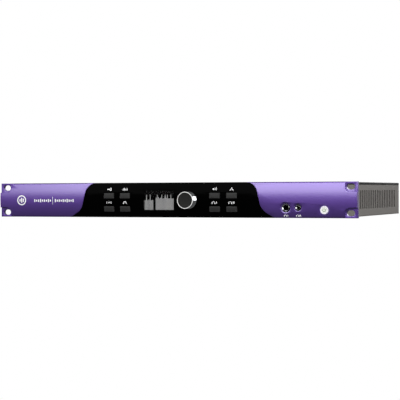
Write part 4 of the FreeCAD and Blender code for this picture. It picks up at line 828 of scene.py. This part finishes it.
knob_low, knob_high = extent("control_knob")
knob_axis = ((knob_low.x + knob_high.x) / 2, (knob_low.z + knob_high.z) / 2)
knob_radius = (knob_high.x - knob_low.x) / 2
knob_length = knob_high.y - knob_low.y
RIM_WIDTH = 0.75
RIM_DEPTH = 0.9
RIM_EASE = 0.15
rim_edge = knob_radius - 0.3
rim_inner = rim_edge - RIM_WIDTH
rim_section = [(rim_inner, RIM_DEPTH), (rim_inner, RIM_EASE), (rim_inner + RIM_EASE, 0),
               (rim_edge - RIM_EASE, 0), (rim_edge, RIM_EASE), (rim_edge, RIM_DEPTH)]
piece("knob_rim", [lathe(behind(knob_low.y, rim_section), knob_axis, 96, closed=True)], GLOWING_SILVER_RIM,
      "knob", ())

# The side of the knob has fine rings turned into it for grip, and a well at the back.
GRIP_RINGS = 15
GRIP_PITCH = 0.7
GRIP_DEPTH = 0.3
GRIP_START = 1.1
GRIP_END = 11.7
WELL_RADIUS = 5.0
WELL_DEPTH = 3.0
knob_section = [(0, RIM_DEPTH + OVERLAP), (rim_edge + OVERLAP, RIM_DEPTH + OVERLAP),
                (rim_edge + OVERLAP, 0.3), (knob_radius - 0.05, 0.6)]
for groove in range(GRIP_RINGS):
    start = GRIP_START + groove * GRIP_PITCH
    knob_section += [(knob_radius, start), (knob_radius - GRIP_DEPTH, start + GRIP_PITCH / 2)]
knob_section += [(knob_radius, GRIP_END), (knob_radius, knob_length - 0.3), (knob_radius - 0.3, knob_length),
                 (WELL_RADIUS, knob_length), (WELL_RADIUS, knob_length - WELL_DEPTH),
                 (0, knob_length - WELL_DEPTH)]
piece("chrome_knob", [lathe(behind(knob_low.y, knob_section), knob_axis, 96)], CHROME, "knob",
      ("control_knob",))
face_radius = rim_inner - 0.03
face_section = [(0, 0.32), (face_radius - 1.2, 0.3), (face_radius - 0.15, 0.22), (face_radius, 0.35),
                (face_radius, RIM_DEPTH), (0, RIM_DEPTH)]
piece("knob_insert", [lathe(behind(knob_low.y, face_section), knob_axis, 72)], KNOB_MOTTLE, "knob",
      ("knob_face",))

# ---------------------------------------------------------------- sockets and power button

FUNNEL_WALL = 0.3
SOCKET_BODY_FRONT = 5.0
SOCKET_BODY_END = 0.6


def phones_socket(size, bore, sleeve):
    """A socket: bright funnel in its mouth, dark washer round it, and its moulded body."""
    low, high = extent("phones_ring_" + size)
    radius = (high.x - low.x) / 2
    centre = ((low.x + high.x) / 2, (low.z + high.z) / 2)
    depth = (sleeve - bore) * 0.8
    length = high.y - low.y
    funnel = [(sleeve, length), (sleeve, 0.1), (sleeve - 0.1, 0), (sleeve - FUNNEL_WALL, 0), (bore, depth),
              (bore, depth + 0.4), (sleeve - FUNNEL_WALL, length)]
    piece(size + "_funnel", [lathe(behind(low.y, funnel), centre, closed=True)], CHROME, "housing", ())
    washer = [(sleeve + 0.03, length), (sleeve + 0.03, 0.5), (radius - 0.3, 0.7), (radius, 1.0),
              (radius, length)]
    piece(size + "_washer", [lathe(behind(low.y, washer), centre, closed=True)], BLACK_OXIDE, "housing",
          ("phones_ring_" + size,))
    body_low, body_high = extent("phones_socket_" + size)
    body_middle = ((body_low.x + body_high.x) / 2, (body_low.z + body_high.z) / 2)
    lining = sleeve - FUNNEL_WALL - OVERLAP
    lining_start = low.y + depth + 0.45
    lining_end = SOCKET_BODY_FRONT + 0.5
    tube = [(bore, lining_start), (lining, lining_start), (lining, lining_end), (bore, lining_end)]
    block = rounded(body_middle, body_high.x - body_low.x, body_high.z - body_low.z, 0.6)
    block_end = body_high.y - SOCKET_BODY_END
    solids = [lathe(tube, centre, closed=True),
              plate([block, disc(centre, bore)], flat(SOCKET_BODY_FRONT), flat(block_end), 1, 0.3),
              plate([block], flat(block_end), flat(body_high.y))]
    piece(size + "_socket_body", solids, SOCKET_BLACK, "housing", ("phones_socket_" + size,))


phones_socket("large", 3.25, 4.6)
phones_socket("small", 1.85, 3.0)

power_front = extent("power_button")[0].y
power_axis = (POWER.x, POWER.z)
power_section = behind(power_front, [(0, 0.35), (3.3, 0.35), (3.5, 0.1), (3.8, 0), (4.4, 0), (4.75, 0.15),
                                     (POWER_RADIUS, 0.5)])
power_section += [(POWER_RADIUS, LIP_FRONT), (POWER_LIP, LIP_FRONT), (POWER_LIP, LIP_BACK), (0, LIP_BACK)]
piece("power_cap", [lathe(power_section, power_axis), plunger(POWER)], GLOWING_OPAL_WHITE, "power_button_body",
      ("power_button",))
lens_section = behind(power_front, [(0, 0.18), (2.6, 0.22), (3.2, 0.36), (3.2, 0.5), (0, 0.5)])
piece("power_lens", [lathe(lens_section, power_axis, 48)], GLOWING_OPAL_SILVER, "power_button_body", ())
POWER_FACE = power_front + 0.14
POWER_MARK_DEPTH = 0.2
power_arc = arc(power_axis, 1.75, math.radians(125), math.radians(415), 20)
power_bar = bar(power_axis[0], power_axis[1] + 1.5, 0.5, 2.0)
power_marks = [plate([outline], flat(POWER_FACE), flat(POWER_FACE + POWER_MARK_DEPTH))
               for outline in (ribbon(power_arc, 0.5), power_bar)]
piece("power_symbol", power_marks, PRINT_SYMBOL, "power_button_body", ())

# ---------------------------------------------------------------- housing

softened("folded_cover", "top_cover", COVER_BLACK, "housing", 0.25)
cover_low, cover_high = extent("top_cover")
LIP_DROP = 1.6
lip_outline = [(cover_low.y, cover_low.z - LIP_DROP), (cover_high.y, cover_low.z - LIP_DROP),
               (cover_high.y, cover_high.z - 0.3), (cover_low.y, cover_high.z - 0.3)]
lips = []
for side in (1, -1):
    lip = plate([lip_outline], flat(0.15), flat(-0.1), 1, 0.05)
    for corner in lip.verts:
        corner.co = Vector((side * (cover_high.x + corner.co.y), corner.co.x, corner.co.z))
    bmesh.ops.recalc_face_normals(lip, faces=lip.faces[:])
    lips.append(lip)
piece("cover_lips", lips, COVER_BLACK, "housing", ())


def screw_tree():
    """A button-head screw with a hexagon socket on each point."""
    tree = tree_with("button-head screws", {
        "Head radius": "Float", "Head height": "Float", "Socket radius": "Float", "Socket depth": "Float",
        "Turn": "Rotation", "Material": "Material"})
    given = add(tree, "NodeGroupInput").outputs
    head = add(tree, "GeometryNodeMeshCylinder", {"Vertices": 28},
               {"Radius": given["Head radius"], "Depth": given["Head height"]})
    hole = add(tree, "GeometryNodeMeshCylinder", {"Vertices": 6},
               {"Radius": given["Socket radius"], "Depth": given["Socket depth"]})
    lift = add(tree, "ShaderNodeMath", {1: 0.5}, {0: given["Head height"]}, operation="MULTIPLY")
    rise = add(tree, "ShaderNodeCombineXYZ", None, {"Z": lift.outputs[0]})
    raised = add(tree, "GeometryNodeTransform", None,
                 {"Geometry": hole.outputs[0], "Translation": rise.outputs[0]})
    cut = add(tree, "GeometryNodeMeshBoolean", None, {0: head.outputs[0], 1: raised.outputs[0]},
              operation="DIFFERENCE")
    sunk = add(tree, "ShaderNodeMath", {1: -0.5}, {0: given["Head height"]}, operation="MULTIPLY")
    fall = add(tree, "ShaderNodeCombineXYZ", None, {"Z": sunk.outputs[0]})
    seated = add(tree, "GeometryNodeTransform", None,
                 {"Geometry": cut.outputs[0], "Translation": fall.outputs[0]})
    heads = add(tree, "GeometryNodeInstanceOnPoints", None,
                {"Points": given["Geometry"], "Instance": seated.outputs[0], "Rotation": given["Turn"]})
    close_tree(tree, heads.outputs[0], given["Material"])
    return tree


SCREWS = screw_tree()


def screws(name, node, axis, head_radius, head_height, socket_radius, finish):
    """Screw heads where a part has its screws, facing along an axis."""
    turn = Vector((0, 0, 1)).rotation_difference(Vector(axis)).to_euler()
    mesh = grown(name, SCREWS, islands(node, axis), {
        "Head radius": head_radius * MM, "Head height": head_height * MM, "Socket radius": socket_radius * MM,
        "Socket depth": head_height * 1.3 * MM, "Turn": turn, "Material": finish})
    settle(name, mesh, finish, "housing", (node,))


screws("cover_screw_heads", "cover_screws", (0, 0, 1), 2.6, 1.6, 1.3, BLACK_OXIDE)
screws("rear_screw_heads", "rear_panel_screws", (0, 0, -1), 2.6, 1.6, 1.3, BLACK_OXIDE)
screws("inlet_screw_heads", "inlet_screws", (0, 1, 0), 2.4, 1.6, 1.2, BLACK_OXIDE)

# ---------------------------------------------------------------- rear connectors


def contact_tree():
    """Two staggered rows of contact holes in a connector's face."""
    tree = tree_with("staggered contacts", {"Contacts": "Int", "Pitch": "Float", "Row gap": "Float",
                                            "Hole radius": "Float", "Depth": "Float", "Material": "Material"})
    given = add(tree, "NodeGroupInput").outputs
    pin = add(tree, "GeometryNodeMeshCylinder", {"Vertices": 12},
              {"Radius": given["Hole radius"], "Depth": given["Depth"]})
    turned = add(tree, "GeometryNodeTransform", {"Rotation": (math.pi / 2, 0, 0)},
                 {"Geometry": pin.outputs[0]})
    step = add(tree, "ShaderNodeCombineXYZ", None, {"X": given["Pitch"]})
    upper = add(tree, "GeometryNodeMeshLine", None, {"Count": given["Contacts"], "Offset": step.outputs[0]})
    fewer = add(tree, "ShaderNodeMath", {1: 1.0}, {0: given["Contacts"]}, operation="SUBTRACT")
    half = add(tree, "ShaderNodeMath", {1: 0.5}, {0: given["Pitch"]}, operation="MULTIPLY")
    down = add(tree, "ShaderNodeMath", {1: -1.0}, {0: given["Row gap"]}, operation="MULTIPLY")
    shift = add(tree, "ShaderNodeCombineXYZ", None, {"X": half.outputs[0], "Z": down.outputs[0]})
    lower = add(tree, "GeometryNodeMeshLine", None,
                {"Count": fewer.outputs[0], "Offset": step.outputs[0], "Start Location": shift.outputs[0]})
    both = add(tree, "GeometryNodeJoinGeometry")
    tree.links.new(upper.outputs[0], both.inputs[0])
    tree.links.new(lower.outputs[0], both.inputs[0])
    row = add(tree, "GeometryNodeInstanceOnPoints", None,
              {"Points": both.outputs[0], "Instance": turned.outputs[0]})
    placed = add(tree, "GeometryNodeInstanceOnPoints", None,
                 {"Points": given["Geometry"], "Instance": row.outputs[0]})
    close_tree(tree, placed.outputs[0], given["Material"])
    return tree


CONTACTS = contact_tree()
CONTACT_PITCH = 2.77
CONTACT_ROW_GAP = 2.84
SHELL_WIDTH = 38.3
SHELL_HEIGHT = 10.2
SHELL_WALL = 0.6
PANEL_BACK = extent("rear_panel")[1].y


def shell_outline(centre, inset):
    """D-shaped outline, narrower at its foot."""
    outline = rounded(centre, SHELL_WIDTH - 2 * inset, SHELL_HEIGHT - 2 * inset, 2.5 - inset)
    return [(centre[0] + (x - centre[0]) * (0.955 + (z - centre[1]) * 0.0088), z) for x, z in outline]


analog_low, analog_high = extent("analog_connectors")
shell_row = (analog_low.z + analog_high.z) / 2
shells = []
inserts = []
seats = []
for place in islands("analog_connectors", (0, 1, 0)):
    centre = (place.x / MM, shell_row)
    shells.append(plate([shell_outline(centre, 0), shell_outline(centre, SHELL_WALL)],
                        flat(analog_high.y), flat(PANEL_BACK - 1.4), 1, 0.15))
    shells.append(plate([rounded(centre, 53.0, 12.5, 1.0), shell_outline(centre, SHELL_WALL)],
                        flat(PANEL_BACK - 1.5), flat(PANEL_BACK - 2.6)))
    inserts.append(plate([shell_outline(centre, SHELL_WALL + 0.05)], flat(analog_high.y - 0.5),
                         flat(PANEL_BACK - 12)))
    seats.append(Vector((centre[0] - 6 * CONTACT_PITCH, analog_high.y - 0.5 + EAR_PLANE,
                         shell_row + CONTACT_ROW_GAP / 2)) * MM)
piece("analog_shells", shells, NICKEL, "housing", ("analog_connectors",))
piece("analog_inserts", inserts, NYLON_BLACK, "housing", ())
contact_mesh = grown("analog_contacts", CONTACTS, seats, {
    "Contacts": 13, "Pitch": CONTACT_PITCH * MM, "Row gap": CONTACT_ROW_GAP * MM, "Hole radius": 0.55 * MM,
    "Depth": 0.3 * MM, "Material": GOLD})
settle("analog_contacts", contact_mesh, GOLD, "housing", ())

# ---------------------------------------------------------------- stage, lights and camera


def panel_of_light(name, place, target, size, power):
    lamp = bpy.data.lights.new(name, "AREA")
    lamp.shape = "RECTANGLE"
    lamp.size, lamp.size_y = size
    lamp.energy = power
    holder = bpy.data.objects.new(name, lamp)
    holder.location = place
    holder.rotation_mode = "QUATERNION"
    holder.rotation_quaternion = (Vector(target) - Vector(place)).to_track_quat("-Z", "Y")
    bpy.context.scene.collection.objects.link(holder)
    return holder


PANEL_MIDDLE = Vector((0.0, EAR_PLANE * MM, PANEL_HEIGHT / 2 * MM))


def towards(azimuth, elevation, distance):
    """A place seen from the middle of the panel; azimuth 0 is straight ahead, positive to the left."""
    side = math.radians(azimuth)
    rise = math.radians(elevation)
    way = Vector((-math.sin(side) * math.cos(rise), -math.cos(side) * math.cos(rise), math.sin(rise)))
    return PANEL_MIDDLE + way * distance


panel_of_light("front softbox", towards(7, 31, 1.5), PANEL_MIDDLE, (1.8, 1.1), 19)
panel_of_light("right fill", Vector((1.6, -0.5, 0.5)), Vector((0.2, -0.05, 0.02)), (1.0, 1.0), 11.5)
panel_of_light("right key", towards(-42, 52, 1.3), PANEL_MIDDLE, (0.2, 0.14), 4)
panel_of_light("left strip", Vector((-1.5, -0.5, 0.2)), Vector((-0.1, -0.15, 0.02)), (0.4, 0.8), 4)
panel_of_light("rear fill", Vector((0.3, 1.9, 0.7)), Vector((0.0, 0.1, 0.02)), (1.2, 0.8), 12)
panel_of_light("right rear strip", Vector((0.75, 1.74, 0.15)), Vector((0.24, -0.16, 0.02)), (0.4, 0.6), 0.7)
panel_of_light("rear left fill", Vector((-1.6, 1.0, 0.5)), Vector((-0.2, 0.0, 0.02)), (1.0, 0.8), 9)

world = bpy.data.worlds.new("studio")
world.use_nodes = True
sky = world.node_tree
sky.nodes.clear()
ray = add(sky, "ShaderNodeLightPath")
dim = add(sky, "ShaderNodeBackground", {"Color": (1, 1, 1, 1), "Strength": 0.09})
bright = add(sky, "ShaderNodeBackground", {"Color": (1, 1, 1, 1), "Strength": 1.0})
both = add(sky, "ShaderNodeMixShader", None,
           {0: ray.outputs["Is Camera Ray"], 1: dim.outputs[0], 2: bright.outputs[0]})
add(sky, "ShaderNodeOutputWorld", None, {"Surface": both.outputs[0]})
bpy.context.scene.world = world
bpy.context.scene.view_settings.view_transform = "Standard"

# The floor lies just under the feet, so it never touches them.
FLOOR_REACH = 6
FLOOR_DROP = 0.0005
floor_corners = [(x * FLOOR_REACH, y * FLOOR_REACH, -FLOOR_DROP)
                 for x, y in ((-1, -1), (1, -1), (1, 1), (-1, 1))]
floor_mesh = bpy.data.meshes.new("studio_floor")
floor_mesh.from_pydata(floor_corners, [], [(0, 1, 2, 3)])
floor = bpy.data.objects.new("studio_floor", floor_mesh)
bpy.context.scene.collection.objects.link(floor)
floor_finish = bpy.data.materials.new("white sweep")
floor_finish.use_nodes = True
floor_finish.node_tree.nodes.clear()
glow = add(floor_finish.node_tree, "ShaderNodeEmission", {"Color": (1, 1, 1, 1), "Strength": 1.0})
add(floor_finish.node_tree, "ShaderNodeOutputMaterial", None, {"Surface": glow.outputs[0]})
floor_mesh.materials.append(floor_finish)
floor.visible_glossy = False
floor.visible_diffuse = False
floor.visible_transmission = False

CAMERA_PLACE = Vector((0.61867, -1.60830, 0.03368))
CAMERA_YAW = math.radians(21.650)
CAMERA_PITCH = math.radians(-0.4346)
CAMERA_ROLL = math.radians(-0.2033)
lens = bpy.data.cameras.new("camera")
lens.lens = 113.83
lens.sensor_width = 36.0
camera = bpy.data.objects.new("camera", lens)
turn = (Matrix.Rotation(CAMERA_YAW, 4, "Z") @ Matrix.Rotation(math.pi / 2 + CAMERA_PITCH, 4, "X")
        @ Matrix.Rotation(CAMERA_ROLL, 4, "Z"))
camera.matrix_world = Matrix.Translation(CAMERA_PLACE) @ turn
bpy.context.scene.collection.objects.link(camera)
bpy.context.scene.camera = camera
